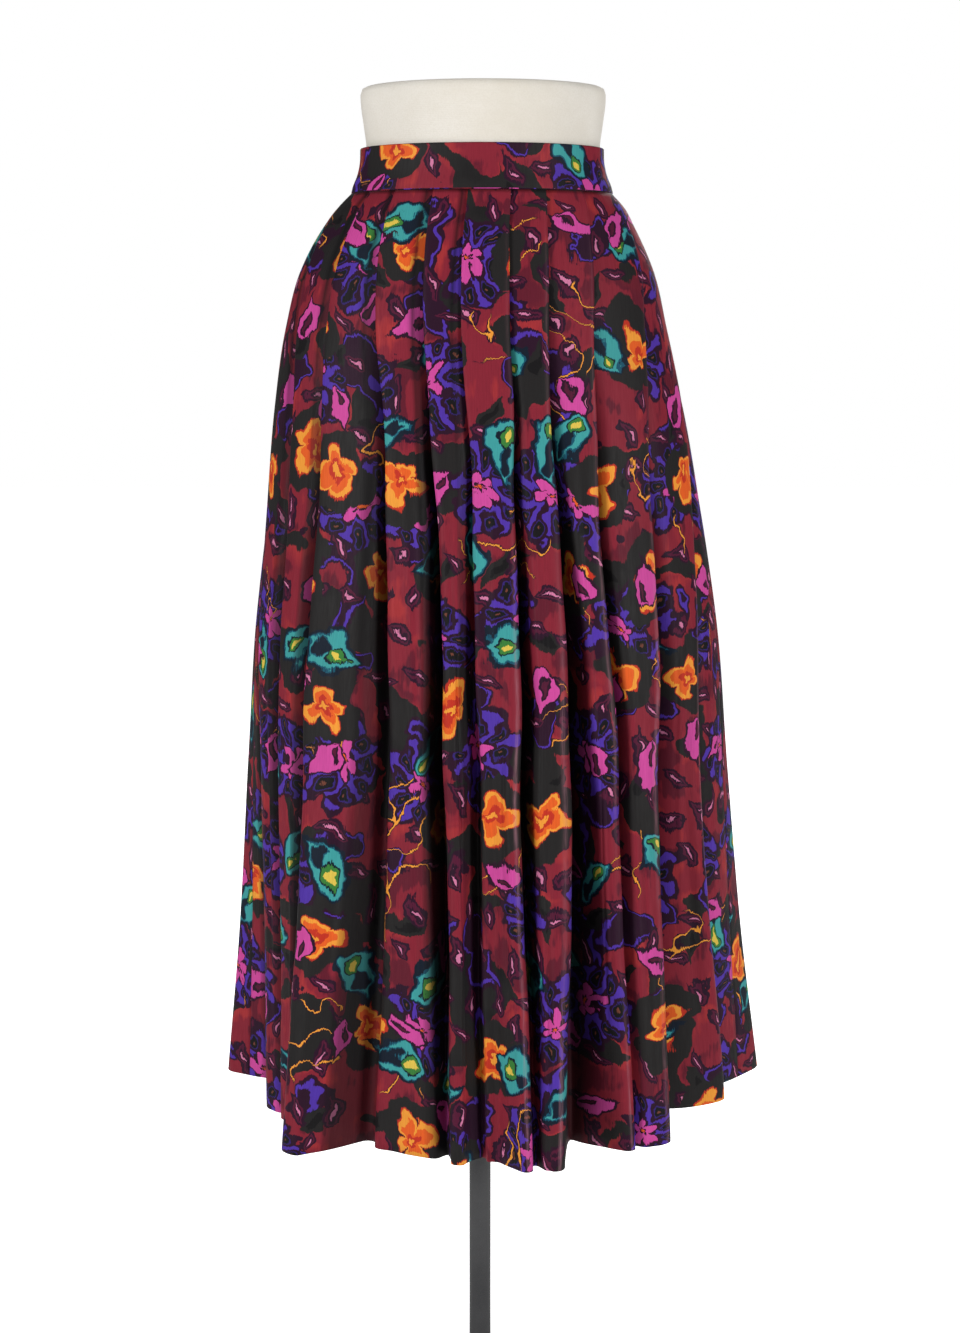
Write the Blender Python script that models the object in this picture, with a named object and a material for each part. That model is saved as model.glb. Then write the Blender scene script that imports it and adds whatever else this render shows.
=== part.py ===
"""Pleated midi skirt on a limbless dress form with a pole and a round base.

Metres, +Z up, the front looks along -Y.  The origin is the middle of the base's underside.

The skirt's wall follows one rule.  A smooth rounded outline, given by a short table of
sections down the skirt, is the outside reach of the cloth.  On it sit the folds of a second
table: near the waistband each one is a flat knife fold of three layers, and lower down it
opens into a deep flute.  Every fold is the same short chain of points, blended from the
closed fold to the open flute, so the wall runs on without crossing itself.
"""

import math

import bmesh
import bpy
import numpy as np

for old in list(bpy.data.objects):
    bpy.data.objects.remove(old, do_unlink=True)

# ---------------------------------------------------------------- driving dimensions
SEAM_GAP = 0.0003            # pieces that touch stay this far apart
WAIST_Z = 1.310              # top edge of the waistband above the floor
BAND_HEIGHT = 0.042
BAND_WALL = 0.0020
SKIRT_LENGTH = 0.876         # straight drop from the waist seam to the hem
CLOTH_WALL = 0.0012
LAYER_STEP = 0.0016          # from one layer of a closed fold to the next
SEAM_Z = WAIST_Z - BAND_HEIGHT

# Sections of the skirt: how far below the waist seam, the outline's half width, half depth,
# corner power (2 is an ellipse, more is squarer) and shift to +X, how far the folds are open
# (0 closed, 1 a flute), and a closed fold's underlap and mouth.
SECTIONS = (
    # drop, half_width, half_depth, corner, shift, open, underlap, mouth
    (0.000, 0.1262, 0.1000, 2.00, 0.0020, 0.00, 0.024, 0.0010),
    (0.012, 0.1380, 0.1040, 2.00, 0.0010, 0.02, 0.024, 0.0012),
    (0.030, 0.1497, 0.1105, 2.00, -0.0010, 0.06, 0.024, 0.0016),
    (0.070, 0.1697, 0.1240, 2.04, -0.0030, 0.18, 0.023, 0.0030),
    (0.125, 0.1845, 0.1400, 2.08, -0.0038, 0.36, 0.021, 0.0050),
    (0.200, 0.2004, 0.1570, 2.14, -0.0005, 0.58, 0.018, 0.0080),
    (0.300, 0.2152, 0.1760, 2.22, 0.0024, 0.78, 0.014, 0.0120),
    (0.420, 0.2320, 0.1950, 2.30, 0.0045, 0.92, 0.010, 0.0160),
    (0.560, 0.2430, 0.2130, 2.36, 0.0065, 1.00, 0.008, 0.0200),
    (0.720, 0.2570, 0.2320, 2.42, 0.0100, 1.00, 0.006, 0.0240),
    (0.876, 0.2758, 0.2520, 2.48, 0.0138, 1.00, 0.004, 0.0280),
)

# Folds, each at the bearing of its lip from the front, + towards +X, at four heights, with
# the depth of its flute at the three lower ones, the width of its mouth at the hem, how far
# it hangs inside the outline there, and how much further in its far side lies.
FOLD_DROPS = (0.0, 0.200, 0.500, SKIRT_LENGTH)
FOLDS = (
    # waist, hip, knee, hem bearings, hip, knee, hem depths, hem mouth, hem sink, hem step
    (-169.0, -167.0, -165.0, -163.0, 0.021, 0.030, 0.030, 0.030, 0.000, 0.000),
    (-149.0, -146.0, -143.0, -141.0, 0.022, 0.034, 0.034, 0.036, 0.000, 0.000),
    (-131.0, -126.0, -121.0, -118.0, 0.020, 0.028, 0.027, 0.030, 0.000, 0.000),
    (-114.0, -107.0, -99.0, -94.0, 0.019, 0.032, 0.036, 0.040, 0.004, 0.000),
    (-99.0, -88.0, -76.0, -69.0, 0.017, 0.024, 0.034, 0.080, 0.040, 0.000),
    (-81.0, -66.0, -61.0, -58.5, 0.021, 0.026, 0.012, 0.018, 0.042, 0.000),
    (-61.5, -52.0, -46.0, -44.0, 0.023, 0.024, 0.050, 0.046, -0.010, 0.040),
    (-46.0, -32.0, -25.0, -27.0, 0.023, 0.022, 0.026, 0.046, 0.034, -0.026),
    (-25.5, -16.0, -10.5, -9.0, 0.027, 0.043, 0.018, 0.018, 0.008, 0.008),
    (-7.2, -4.0, -1.5, -1.5, 0.014, 0.018, 0.010, 0.016, 0.016, 0.000),
    (14.9, 11.0, 8.4, 7.5, 0.027, 0.043, 0.014, 0.012, -0.008, 0.000),
    (33.4, 23.6, 21.0, 14.0, 0.025, 0.045, 0.050, 0.050, -0.008, 0.035),
    (54.1, 38.0, 33.5, 31.0, 0.025, 0.020, 0.009, 0.014, 0.026, 0.000),
    (79.0, 57.5, 46.5, 40.8, 0.027, 0.050, 0.056, 0.080, 0.026, 0.050),
    (99.0, 80.0, 64.0, 74.0, 0.019, 0.024, 0.030, 0.034, 0.042, 0.000),
    (114.0, 103.0, 94.0, 96.0, 0.020, 0.030, 0.032, 0.036, 0.004, 0.000),
    (131.0, 124.0, 119.0, 119.0, 0.021, 0.033, 0.030, 0.034, 0.000, 0.000),
    (149.0, 145.0, 142.0, 141.0, 0.020, 0.029, 0.034, 0.036, 0.000, 0.000),
    (169.0, 167.0, 165.0, 163.0, 0.022, 0.032, 0.028, 0.030, 0.000, 0.000),
)
FIRST_FRONT_FOLD = 4         # the front panel holds this fold to the last one, both included
LAST_FRONT_FOLD = 14
CENTRE_FOLD = 10             # folds before this one face -X, the others +X
LIP_LENGTH = 0.0050          # the pressed edge of a closed fold
UNDER_SHARE = 0.72           # most of a panel that the next fold may lie under
CENTRE_UNDER_SHARE = 0.40    # the same on the centre panel, which covers two folds
PANEL_SHARES = (1 / 3, 2 / 3)
SIDE_SEAM_SHARE = 1 / 2      # where a side seam lies between its two folds
WALL_DROPS = (0.0, 0.014, 0.034, 0.058, 0.086, 0.120, 0.160, 0.205, 0.258,
              0.316, 0.380, 0.450, 0.522, 0.596, 0.670, 0.742, 0.812, 0.876)

# Waistband: height under its top edge, then the outside's half width and half depth.
BAND_SECTIONS = (
    # drop, half_width, half_depth
    (0.0000, 0.1158, 0.0924),
    (0.0140, 0.1165, 0.0936),
    (0.0260, 0.1194, 0.0954),
    (0.0350, 0.1232, 0.0975),
    (0.0420, 0.1250, 0.0988),
)
BAND_START = -178.0          # bearing where the under end starts, at the centre back
BAND_END = 197.0             # bearing where the upper end stops, lying over the under end
BAND_LIFT_FROM = 160.0       # the upper end starts to rise here
BAND_LIFT_DONE = 179.0
BAND_LIFT = 0.0026           # one band wall and a little air
BAND_STEPS = 64
BAND_SHIFT = 0.0020

BUTTON_BEARING = 189.5
BUTTON_RADIUS = 0.0090
BUTTON_THICKNESS = 0.0030
BUTTON_RIM = 0.0018
BUTTON_DISH = 0.0007
BUTTON_HOLE_RADIUS = 0.0010
BUTTON_HOLE_SPREAD = 0.0026
BUTTON_DROP = 0.0200

# Dress form: height from the waistband's top edge, half width and half depth.
FORM_SECTIONS = (
    # rise, half_width, half_depth
    (0.0560, 0.1112, 0.0925),
    (0.0545, 0.1144, 0.0958),
    (0.0500, 0.1160, 0.0975),
    (0.0420, 0.1159, 0.0968),
    (0.0250, 0.1139, 0.0938),
    (0.0000, 0.1108, 0.08995),
    (-0.0420, 0.1148, 0.0914),
    (-0.0800, 0.1290, 0.0990),
    (-0.1250, 0.1440, 0.1070),
    (-0.1750, 0.1560, 0.1130),
    (-0.2300, 0.1610, 0.1160),
    (-0.2850, 0.1570, 0.1140),
    (-0.3250, 0.1440, 0.1040),
    (-0.3450, 0.1270, 0.0890),
    (-0.3520, 0.1080, 0.0740),
)
FORM_SHIFT = 0.0030
FORM_STEPS = 40

POLE_RADIUS = 0.0110
POLE_STEPS = 24
FLANGE_RADIUS = 0.0450
FLANGE_THICKNESS = 0.0060
SOCKET_RADIUS = 0.0180
SOCKET_LENGTH = 0.0350
BASE_RADIUS = 0.1750
BASE_THICKNESS = 0.0100
BASE_BEVEL = 0.0030
BASE_STEPS = 56


# ---------------------------------------------------------------- helpers for every piece
def colour_material(name, colour, roughness, metallic=0.0):
    """Return a plain Principled material."""
    material = bpy.data.materials.new(name)
    material.use_nodes = True
    shader = material.node_tree.nodes["Principled BSDF"]
    shader.inputs["Base Color"].default_value = (*colour, 1.0)
    shader.inputs["Roughness"].default_value = roughness
    shader.inputs["Metallic"].default_value = metallic
    return material


def add_object(name, mesh, material, sharp_angle=35.0):
    """Put a mesh into the scene as a named object, shaded smooth."""
    mesh.materials.append(material)
    mesh.shade_smooth()
    mesh.set_sharp_from_angle(angle=math.radians(sharp_angle))
    piece = bpy.data.objects.new(name, mesh)
    bpy.context.scene.collection.objects.link(piece)
    return piece


def curve_through(places, values, at):
    """Read a smooth curve through (places, values) at the places in at.

    A cubic Hermite curve: each slope is the weighted mean of the slopes beside it.
    """
    places = np.asarray(places, float)
    values = np.asarray(values, float)
    at = np.clip(np.asarray(at, float), places[0], places[-1])
    slopes = np.gradient(values, places)
    span = np.clip(np.searchsorted(places, at, side="right") - 1, 0, len(places) - 2)
    width = places[span + 1] - places[span]
    x = (at - places[span]) / width
    start = (1 + 2 * x) * (1 - x) ** 2 * values[span]
    end = x * x * (3 - 2 * x) * values[span + 1]
    start_slope = x * (1 - x) ** 2 * width * slopes[span]
    end_slope = x * x * (x - 1) * width * slopes[span + 1]
    return start + end + start_slope + end_slope


def outline_points(bearings, half_width, half_depth, corner=2.0):
    """Return x and y of a rounded outline at bearings in radians from the front, -Y."""
    across = np.abs(np.sin(bearings) / half_width) ** corner
    along = np.abs(np.cos(bearings) / half_depth) ** corner
    radius = (across + along) ** (-1.0 / corner)
    return radius * np.sin(bearings), -radius * np.cos(bearings)


def wall_solid(name, outer, inner, closed_round, material):
    """Make a closed wall from two grids of points, rows down and columns round.

    Rows and columns are the same in both grids.  An open wall also gets its two side
    edges, and a wall that closes round itself has none.
    """
    rows, columns = outer.shape[:2]
    count = rows * columns
    index = np.arange(count).reshape(rows, columns)
    if closed_round:
        index = np.concatenate([index, index[:, :1]], axis=1)
    faces = []
    for row in range(rows - 1):
        for column in range(index.shape[1] - 1):
            a = int(index[row, column])
            b = int(index[row, column + 1])
            c = int(index[row + 1, column + 1])
            d = int(index[row + 1, column])
            faces.append((a, d, c, b))
            faces.append((a + count, b + count, c + count, d + count))
    for column in range(index.shape[1] - 1):
        top_a = int(index[0, column])
        top_b = int(index[0, column + 1])
        low_a = int(index[-1, column])
        low_b = int(index[-1, column + 1])
        faces.append((top_a, top_b, top_b + count, top_a + count))
        faces.append((low_b, low_a, low_a + count, low_b + count))
    if not closed_round:
        for row in range(rows - 1):
            left_a = int(index[row, 0])
            left_b = int(index[row + 1, 0])
            right_a = int(index[row, -1])
            right_b = int(index[row + 1, -1])
            faces.append((left_a, left_a + count, left_b + count, left_b))
            faces.append((right_b, right_b + count, right_a + count, right_a))
    points = np.concatenate([outer.reshape(-1, 3), inner.reshape(-1, 3)])
    mesh = bpy.data.meshes.new(name)
    mesh.from_pydata([tuple(point) for point in points.tolist()], [], faces)
    return add_object(name, mesh, material)


def turned_solid(name, profile, steps, centre, material):
    """Turn a closed profile of (radius, height) points, listed outside upwards, about Z."""
    shell = bmesh.new()
    rings = []
    for radius, height in profile:
        if radius == 0.0:
            rings.append([shell.verts.new((centre[0], centre[1], centre[2] + height))])
            continue
        ring = []
        for step in range(steps):
            angle = 2 * math.pi * step / steps
            x = centre[0] + radius * math.cos(angle)
            y = centre[1] + radius * math.sin(angle)
            ring.append(shell.verts.new((x, y, centre[2] + height)))
        rings.append(ring)
    for lower, upper in zip(rings, rings[1:] + rings[:1]):
        if len(lower) == 1 and len(upper) == 1:
            continue
        for step in range(steps):
            after = (step + 1) % steps
            if len(lower) == 1:
                shell.faces.new((lower[0], upper[after], upper[step]))
            elif len(upper) == 1:
                shell.faces.new((lower[step], lower[after], upper[0]))
            else:
                shell.faces.new((lower[step], lower[after], upper[after], upper[step]))
    mesh = bpy.data.meshes.new(name)
    shell.to_mesh(mesh)
    shell.free()
    return add_object(name, mesh, material)


# ---------------------------------------------------------------- skirt panels
def section_values(drop):
    """Return the section's table values at one drop, as a dictionary."""
    table = np.array(SECTIONS)
    names = ("half_width", "half_depth", "corner", "shift", "open", "underlap", "mouth")
    values = {}
    for column, name in enumerate(names, start=1):
        values[name] = float(curve_through(table[:, 0], table[:, column], drop))
    return values


def fold_values(drop, section):
    """Return arrays over the folds at one drop: bearing, depth, mouth, sink and step."""
    table = np.array(FOLDS)
    bearings = []
    depths = []
    for row in table:
        bearings.append(float(curve_through(FOLD_DROPS, row[:4], drop)))
        stack = (LAYER_STEP * 2, *row[4:7])
        depths.append(float(curve_through(FOLD_DROPS, stack, drop)))
    opened = (drop / SKIRT_LENGTH) ** 2
    mouths = section["mouth"] * (1 - opened) + table[:, 7] * opened
    sinks = table[:, 8] * opened
    steps = table[:, 9] * opened
    return np.radians(bearings), np.array(depths), mouths, sinks, steps


def outline_lookup(section):
    """Return dense bearings, arc lengths, points and outward normals of a section's outline."""
    bearings = np.radians(np.linspace(-200.0, 200.0, 1601))
    x, y = outline_points(
        bearings, section["half_width"], section["half_depth"], section["corner"])
    arcs = np.concatenate([[0.0], np.cumsum(np.hypot(np.diff(x), np.diff(y)))])
    arcs -= np.interp(0.0, bearings, arcs)
    run_x = np.gradient(x, arcs)
    run_y = np.gradient(y, arcs)
    length = np.hypot(run_x, run_y)
    return bearings, arcs, x, y, run_y / length, -run_x / length


def fold_chain(facing, underlap, depth, mouth, step, far, opened, spacing, covered):
    """Return one fold's chain of (along, out) points, in the order of rising bearing.

    The closed fold is a lip, a turn under it and a lower layer that comes out beneath the
    lip.  The open flute is a lip, a wall down, a rounded bottom and a wall up.  along is
    measured from the lip towards the side that the fold faces.  spacing is the width of
    the panel that the fold lies under, and covered the share of it that it may fill.  step
    is how much further in the flute's far side lies than its lip, and far the share of the
    depth at which that side meets the panel beyond.
    """
    under = min(underlap, covered * spacing)
    lean = 0.35 * under
    tilt = 2 * LAYER_STEP * under / (spacing - LIP_LENGTH)
    closed = np.array([
        (-LIP_LENGTH, -0.0002),
        (0.0, 0.0),
        (0.0, -LAYER_STEP),
        (-under, -1.5 * LAYER_STEP - tilt),
        (mouth, -2 * LAYER_STEP),
    ])
    approach = min(0.30 * mouth + 0.0040, 0.30 * spacing)
    flute = np.array([
        (-approach, -0.015 * depth),
        (0.0, -0.10 * depth),
        (0.10 * mouth - 0.5 * lean, -0.55 * depth),
        (0.48 * mouth - lean, -depth),
        (0.95 * mouth, -far * depth),
    ])
    blend = closed * (1 - opened) + flute * opened
    bottom = blend[3]
    run = bottom - blend[1]
    run /= np.linalg.norm(run)
    half = LAYER_STEP / 2 * (1 - opened) + max(0.14 * mouth, 0.0022) * opened
    across = half * np.array([-run[1], run[0]])
    chain = np.array([*blend[:3], bottom - across, bottom + across, blend[4]])
    chain[:, 1] -= step * np.array([0.0, 0.0, 0.0, 0.5, 0.5, 1.0])
    chain[:, 0] *= facing
    if facing < 0:
        chain = chain[::-1]
    return chain


def wall_line(drop):
    """Return the wall's middle line at one drop as (along, out) points round the skirt.

    Also returns, for each point, the number of the fold that it belongs to, plus the
    point's share of the way to the next fold where it lies on the panel between them.
    """
    section = section_values(drop)
    bearings, depths, mouths, sinks, steps = fold_values(drop, section)
    lookup = outline_lookup(section)
    lips = np.interp(bearings, lookup[0], lookup[1])
    round_length = np.interp(math.pi, lookup[0], lookup[1]) * 2
    ramp = min(max((drop - 0.160) / 0.160, 0.0), 1.0)
    far = 0.34 - 0.24 * ramp * (1 - (drop / SKIRT_LENGTH) ** 4)
    count = len(lips)
    chains = []
    for fold in range(count):
        facing = -1 if fold < CENTRE_FOLD else 1
        spacing = abs(lips[fold] - lips[fold - facing])
        at_centre = fold in (CENTRE_FOLD - 1, CENTRE_FOLD)
        covered = CENTRE_UNDER_SHARE if at_centre else UNDER_SHARE
        chain = fold_chain(facing, section["underlap"], depths[fold], mouths[fold],
                           steps[fold], far, section["open"], spacing, covered)
        chain += (lips[fold], -sinks[fold])
        chains.append(chain)
    points = []
    owners = []
    for fold in range(count):
        following = chains[(fold + 1) % count].copy()
        if fold == count - 1:
            following[:, 0] += round_length
        for point in chains[fold]:
            points.append(point)
            owners.append(float(fold))
        start = chains[fold][-1]
        end = following[0]
        width = end[0] - start[0]
        for share in PANEL_SHARES:
            along = start[0] + share * width
            out = start[1] + share * (end[1] - start[1])
            points.append((along, out + 0.02 * width * section["open"]))
            owners.append(fold + share)
    return np.array(points), np.array(owners), lookup, section, round_length


def plan_points(line, lookup, section):
    """Place (along, out) points on the section's outline; return x and y."""
    bearings, arcs, x, y, normal_x, normal_y = lookup
    along = line[:, 0]
    out = line[:, 1] - CLOTH_WALL / 2
    place_x = np.interp(along, arcs, x) + out * np.interp(along, arcs, normal_x)
    place_y = np.interp(along, arcs, y) + out * np.interp(along, arcs, normal_y)
    return np.stack([place_x + section["shift"], place_y], axis=1)


def offset_line(points, distance):
    """Move an open line sideways to its right by distance, with mitred corners."""
    run = np.diff(points, axis=0)
    run /= np.linalg.norm(run, axis=1)[:, None]
    right = np.stack([run[:, 1], -run[:, 0]], axis=1)
    before = np.concatenate([right[:1], right])
    after = np.concatenate([right, right[-1:]])
    mitre = (before + after) / (1 + np.sum(before * after, axis=1))[:, None]
    return points + distance * mitre


def panel_rows(first_fold, last_fold):
    """Return a panel's outer and inner grids, from the seam before its first fold."""
    outer_rows = []
    inner_rows = []
    for drop in WALL_DROPS:
        line, owners, lookup, section, round_length = wall_line(drop)
        turns = np.concatenate([line - (round_length, 0), line, line + (round_length, 0)])
        count = len(FOLDS)
        marks = np.concatenate([owners - count, owners, owners + count])
        first_mark = first_fold - 1 + SIDE_SEAM_SHARE
        last_mark = last_fold + SIDE_SEAM_SHARE
        inside = (marks > first_mark) & (marks < last_mark)
        seams = []
        for mark in (first_mark, last_mark):
            after = int(np.argmax(marks > mark))
            seams.append((turns[after - 1] + turns[after]) / 2)
        start = seams[0] + (SEAM_GAP / 2, 0)
        end = seams[1] - (SEAM_GAP / 2, 0)
        middle = np.concatenate([start[None], turns[inside], end[None]])
        wrap = middle[:, 0] > lookup[1][-1]
        plan = plan_points(middle, lookup, section)
        if wrap.any():
            back = middle[wrap] - (round_length, 0)
            plan[wrap] = plan_points(back, lookup, section)
        height = np.full((len(plan), 1), SEAM_Z - SEAM_GAP - drop)
        outer = offset_line(plan, CLOTH_WALL / 2)
        inner = offset_line(plan, -CLOTH_WALL / 2)
        outer_rows.append(np.concatenate([outer, height], axis=1))
        inner_rows.append(np.concatenate([inner, height], axis=1))
    return np.array(outer_rows), np.array(inner_rows)


def make_skirt(material):
    """Front panel with the middle folds, back panel with the others."""
    outer, inner = panel_rows(FIRST_FRONT_FOLD, LAST_FRONT_FOLD)
    wall_solid("front_panel", outer, inner, False, material)
    outer, inner = panel_rows(LAST_FRONT_FOLD + 1, len(FOLDS) + FIRST_FRONT_FOLD - 1)
    wall_solid("back_panel", outer, inner, False, material)


# ---------------------------------------------------------------- waistband and button
def band_grids():
    """Return the waistband's outer and inner grids; its upper end lies over its under end."""
    degrees = np.linspace(BAND_START, BAND_END, BAND_STEPS + 1)
    share = np.clip((degrees - BAND_LIFT_FROM) / (BAND_LIFT_DONE - BAND_LIFT_FROM), 0, 1)
    lift = BAND_LIFT * share * share * (3 - 2 * share)
    outer = []
    inner = []
    for drop, half_width, half_depth in BAND_SECTIONS:
        x, y = outline_points(np.radians(degrees), half_width, half_depth)
        middle = np.stack([x + BAND_SHIFT, y], axis=1)
        middle = offset_line(middle, lift[:, None] - BAND_WALL / 2)
        height = np.full((len(middle), 1), WAIST_Z - drop)
        outer.append(np.concatenate([offset_line(middle, BAND_WALL / 2), height], axis=1))
        inner.append(np.concatenate([offset_line(middle, -BAND_WALL / 2), height], axis=1))
    return np.array(outer), np.array(inner)


def make_waistband(material):
    """A straight band, four layers of cloth and stiffening, closed at the centre back."""
    outer, inner = band_grids()
    wall_solid("waistband", outer, inner, False, material)


def make_button(material):
    """A four-hole button on the upper end of the waistband."""
    profile = (
        (BUTTON_RADIUS - 0.0006, 0.0),
        (BUTTON_RADIUS, 0.0006),
        (BUTTON_RADIUS, BUTTON_THICKNESS - 0.0008),
        (BUTTON_RADIUS - 0.0007, BUTTON_THICKNESS),
        (BUTTON_RADIUS - BUTTON_RIM, BUTTON_THICKNESS),
        (BUTTON_RADIUS - 1.6 * BUTTON_RIM, BUTTON_THICKNESS - BUTTON_DISH),
        (0.0, BUTTON_THICKNESS - BUTTON_DISH),
        (0.0, 0.0),
    )
    button = turned_solid("button", profile, 28, (0, 0, 0), material)
    cutter_mesh = bpy.data.meshes.new("button_hole")
    holes = bmesh.new()
    for turn in range(4):
        angle = math.pi / 4 + turn * math.pi / 2
        spread = BUTTON_HOLE_SPREAD / math.sqrt(2)
        made = bmesh.ops.create_cone(
            holes, cap_ends=True, segments=10, radius1=BUTTON_HOLE_RADIUS,
            radius2=BUTTON_HOLE_RADIUS, depth=4 * BUTTON_THICKNESS)
        centre = (spread * math.cos(angle), spread * math.sin(angle), 0.0)
        bmesh.ops.translate(holes, verts=made["verts"], vec=centre)
    holes.to_mesh(cutter_mesh)
    holes.free()
    cutter = bpy.data.objects.new("button_hole_cutter", cutter_mesh)
    bpy.context.scene.collection.objects.link(cutter)
    cutter.hide_render = True
    cutter.display_type = "WIRE"
    outer, _ = band_grids()
    degrees = np.linspace(BAND_START, BAND_END, BAND_STEPS + 1)
    column = int(np.argmin(np.abs(degrees - BUTTON_BEARING)))
    drops = [row[0] for row in BAND_SECTIONS]
    place = [float(np.interp(BUTTON_DROP, drops, outer[:, column, axis])) for axis in range(3)]
    run = outer[2, column + 1] - outer[2, column - 1]
    rise = outer[1, column] - outer[3, column]
    out = np.cross(run, rise)
    out /= np.linalg.norm(out)
    upright = rise / np.linalg.norm(rise)
    side = np.cross(upright, out)
    turn = np.array([side, upright, out]).T
    for piece in (button, cutter):
        rotation = [list(row) + [0.0] for row in turn.tolist()] + [[0.0, 0.0, 0.0, 1.0]]
        piece.matrix_world = [list(row) for row in zip(*rotation)]
        piece.location = (np.array(place) + 2.5 * SEAM_GAP * out).tolist()
    cut = button.modifiers.new("holes", "BOOLEAN")
    cut.operation = "DIFFERENCE"
    cut.solver = "EXACT"
    cut.object = cutter


# ---------------------------------------------------------------- dress form and stand
def make_form(material):
    """A smooth hip and waist form, closed at the top and underneath."""
    bearings = np.linspace(-math.pi, math.pi, FORM_STEPS + 1)[:-1]
    shell = bmesh.new()
    rings = []
    for rise, half_width, half_depth in FORM_SECTIONS:
        x, y = outline_points(bearings, half_width, half_depth)
        rings.append([
            shell.verts.new((float(px) + FORM_SHIFT, float(py), WAIST_Z + rise))
            for px, py in zip(x, y)])
    for upper, lower in zip(rings, rings[1:]):
        for step in range(FORM_STEPS):
            after = (step + 1) % FORM_STEPS
            shell.faces.new((upper[step], lower[step], lower[after], upper[after]))
    shell.faces.new(rings[0])
    shell.faces.new(list(reversed(rings[-1])))
    mesh = bpy.data.meshes.new("dress_form")
    shell.to_mesh(mesh)
    shell.free()
    add_object("dress_form", mesh, material)


def make_stand(material):
    """Flange and socket under the form, pole, foot socket and round base."""
    form_bottom = WAIST_Z + FORM_SECTIONS[-1][0]
    flange_z = form_bottom - SEAM_GAP - FLANGE_THICKNESS
    bore = POLE_RADIUS + SEAM_GAP
    flange_profile = (
        (bore, -SOCKET_LENGTH),
        (SOCKET_RADIUS, -SOCKET_LENGTH),
        (SOCKET_RADIUS, 0.0),
        (FLANGE_RADIUS, 0.0),
        (FLANGE_RADIUS, FLANGE_THICKNESS),
        (bore, FLANGE_THICKNESS),
    )
    turned_solid("form_flange", flange_profile, POLE_STEPS, (0, 0, flange_z), material)
    foot_z = BASE_THICKNESS + SEAM_GAP
    foot_profile = (
        (bore, 0.0),
        (FLANGE_RADIUS, 0.0),
        (FLANGE_RADIUS, FLANGE_THICKNESS),
        (SOCKET_RADIUS, FLANGE_THICKNESS + 0.004),
        (SOCKET_RADIUS, SOCKET_LENGTH),
        (bore, SOCKET_LENGTH),
    )
    turned_solid("foot_socket", foot_profile, POLE_STEPS, (0, 0, foot_z), material)
    pole_length = form_bottom - SEAM_GAP - foot_z
    pole_profile = (
        (0.0, 0.0),
        (POLE_RADIUS, 0.0),
        (POLE_RADIUS, pole_length),
        (0.0, pole_length),
    )
    turned_solid("pole", pole_profile, POLE_STEPS, (0, 0, foot_z), material)
    base_profile = (
        (0.0, 0.0),
        (BASE_RADIUS, 0.0),
        (BASE_RADIUS, BASE_THICKNESS - BASE_BEVEL),
        (BASE_RADIUS - BASE_BEVEL, BASE_THICKNESS),
        (0.0, BASE_THICKNESS),
    )
    turned_solid("base", base_profile, BASE_STEPS, (0, 0, 0), material)


skirt_cloth = colour_material("skirt_cloth", (0.20, 0.02, 0.05), 0.62)
button_plastic = colour_material("button_plastic", (0.03, 0.02, 0.025), 0.30)
form_cover = colour_material("form_cover", (0.78, 0.74, 0.66), 0.85)
stand_metal = colour_material("stand_metal", (0.055, 0.055, 0.058), 0.45, 0.6)

make_skirt(skirt_cloth)
make_waistband(skirt_cloth)
make_button(button_plastic)
make_form(form_cover)
make_stand(stand_metal)
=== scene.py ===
import math

import bmesh
import bpy
import numpy as np
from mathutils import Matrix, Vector


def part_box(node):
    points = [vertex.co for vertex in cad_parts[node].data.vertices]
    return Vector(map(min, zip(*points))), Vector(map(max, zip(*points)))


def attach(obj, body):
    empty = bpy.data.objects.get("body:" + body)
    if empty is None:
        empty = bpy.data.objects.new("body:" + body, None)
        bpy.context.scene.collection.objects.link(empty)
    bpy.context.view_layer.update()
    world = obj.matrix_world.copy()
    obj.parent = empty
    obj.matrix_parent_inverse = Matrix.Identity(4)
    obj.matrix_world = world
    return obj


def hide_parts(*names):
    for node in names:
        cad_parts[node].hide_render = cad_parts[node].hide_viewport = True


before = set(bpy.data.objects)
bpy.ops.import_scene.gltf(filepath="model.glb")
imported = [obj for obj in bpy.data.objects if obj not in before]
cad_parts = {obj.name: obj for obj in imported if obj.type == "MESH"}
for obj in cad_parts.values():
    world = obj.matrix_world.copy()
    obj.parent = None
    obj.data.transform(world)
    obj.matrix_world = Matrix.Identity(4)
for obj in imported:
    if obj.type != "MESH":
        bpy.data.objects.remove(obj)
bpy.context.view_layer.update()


# ============================================================ base, sockets and pole
# The stand is a heavy round steel plate, a turned foot socket, a plain tube and a flange that
# screws up into the form.  All four are dark grey powder coat over metal, with the edges
# rolled over.
def srgb(red, green, blue):
    """Turn a colour as seen on a screen, 0 to 255, into the linear colour a shader takes."""
    seen = np.array([red, green, blue]) / 255
    linear = np.where(seen <= 0.04045, seen / 12.92, ((seen + 0.055) / 1.055) ** 2.4)
    return (*linear.tolist(), 1.0)


def together(*parts):
    """Spread arrays over each other and stack them as the last axis of one."""
    return np.stack(np.broadcast_arrays(*parts), axis=-1)


def summed(steps):
    """Running sums along the last axis, from 0."""
    total = np.cumsum(steps, axis=-1)
    return np.concatenate([np.zeros_like(total[..., :1]), total], axis=-1)


def lengths_along(path):
    """The length of a path from its start to each of its points."""
    return summed(np.linalg.norm(np.diff(path, axis=0), axis=1))


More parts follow.
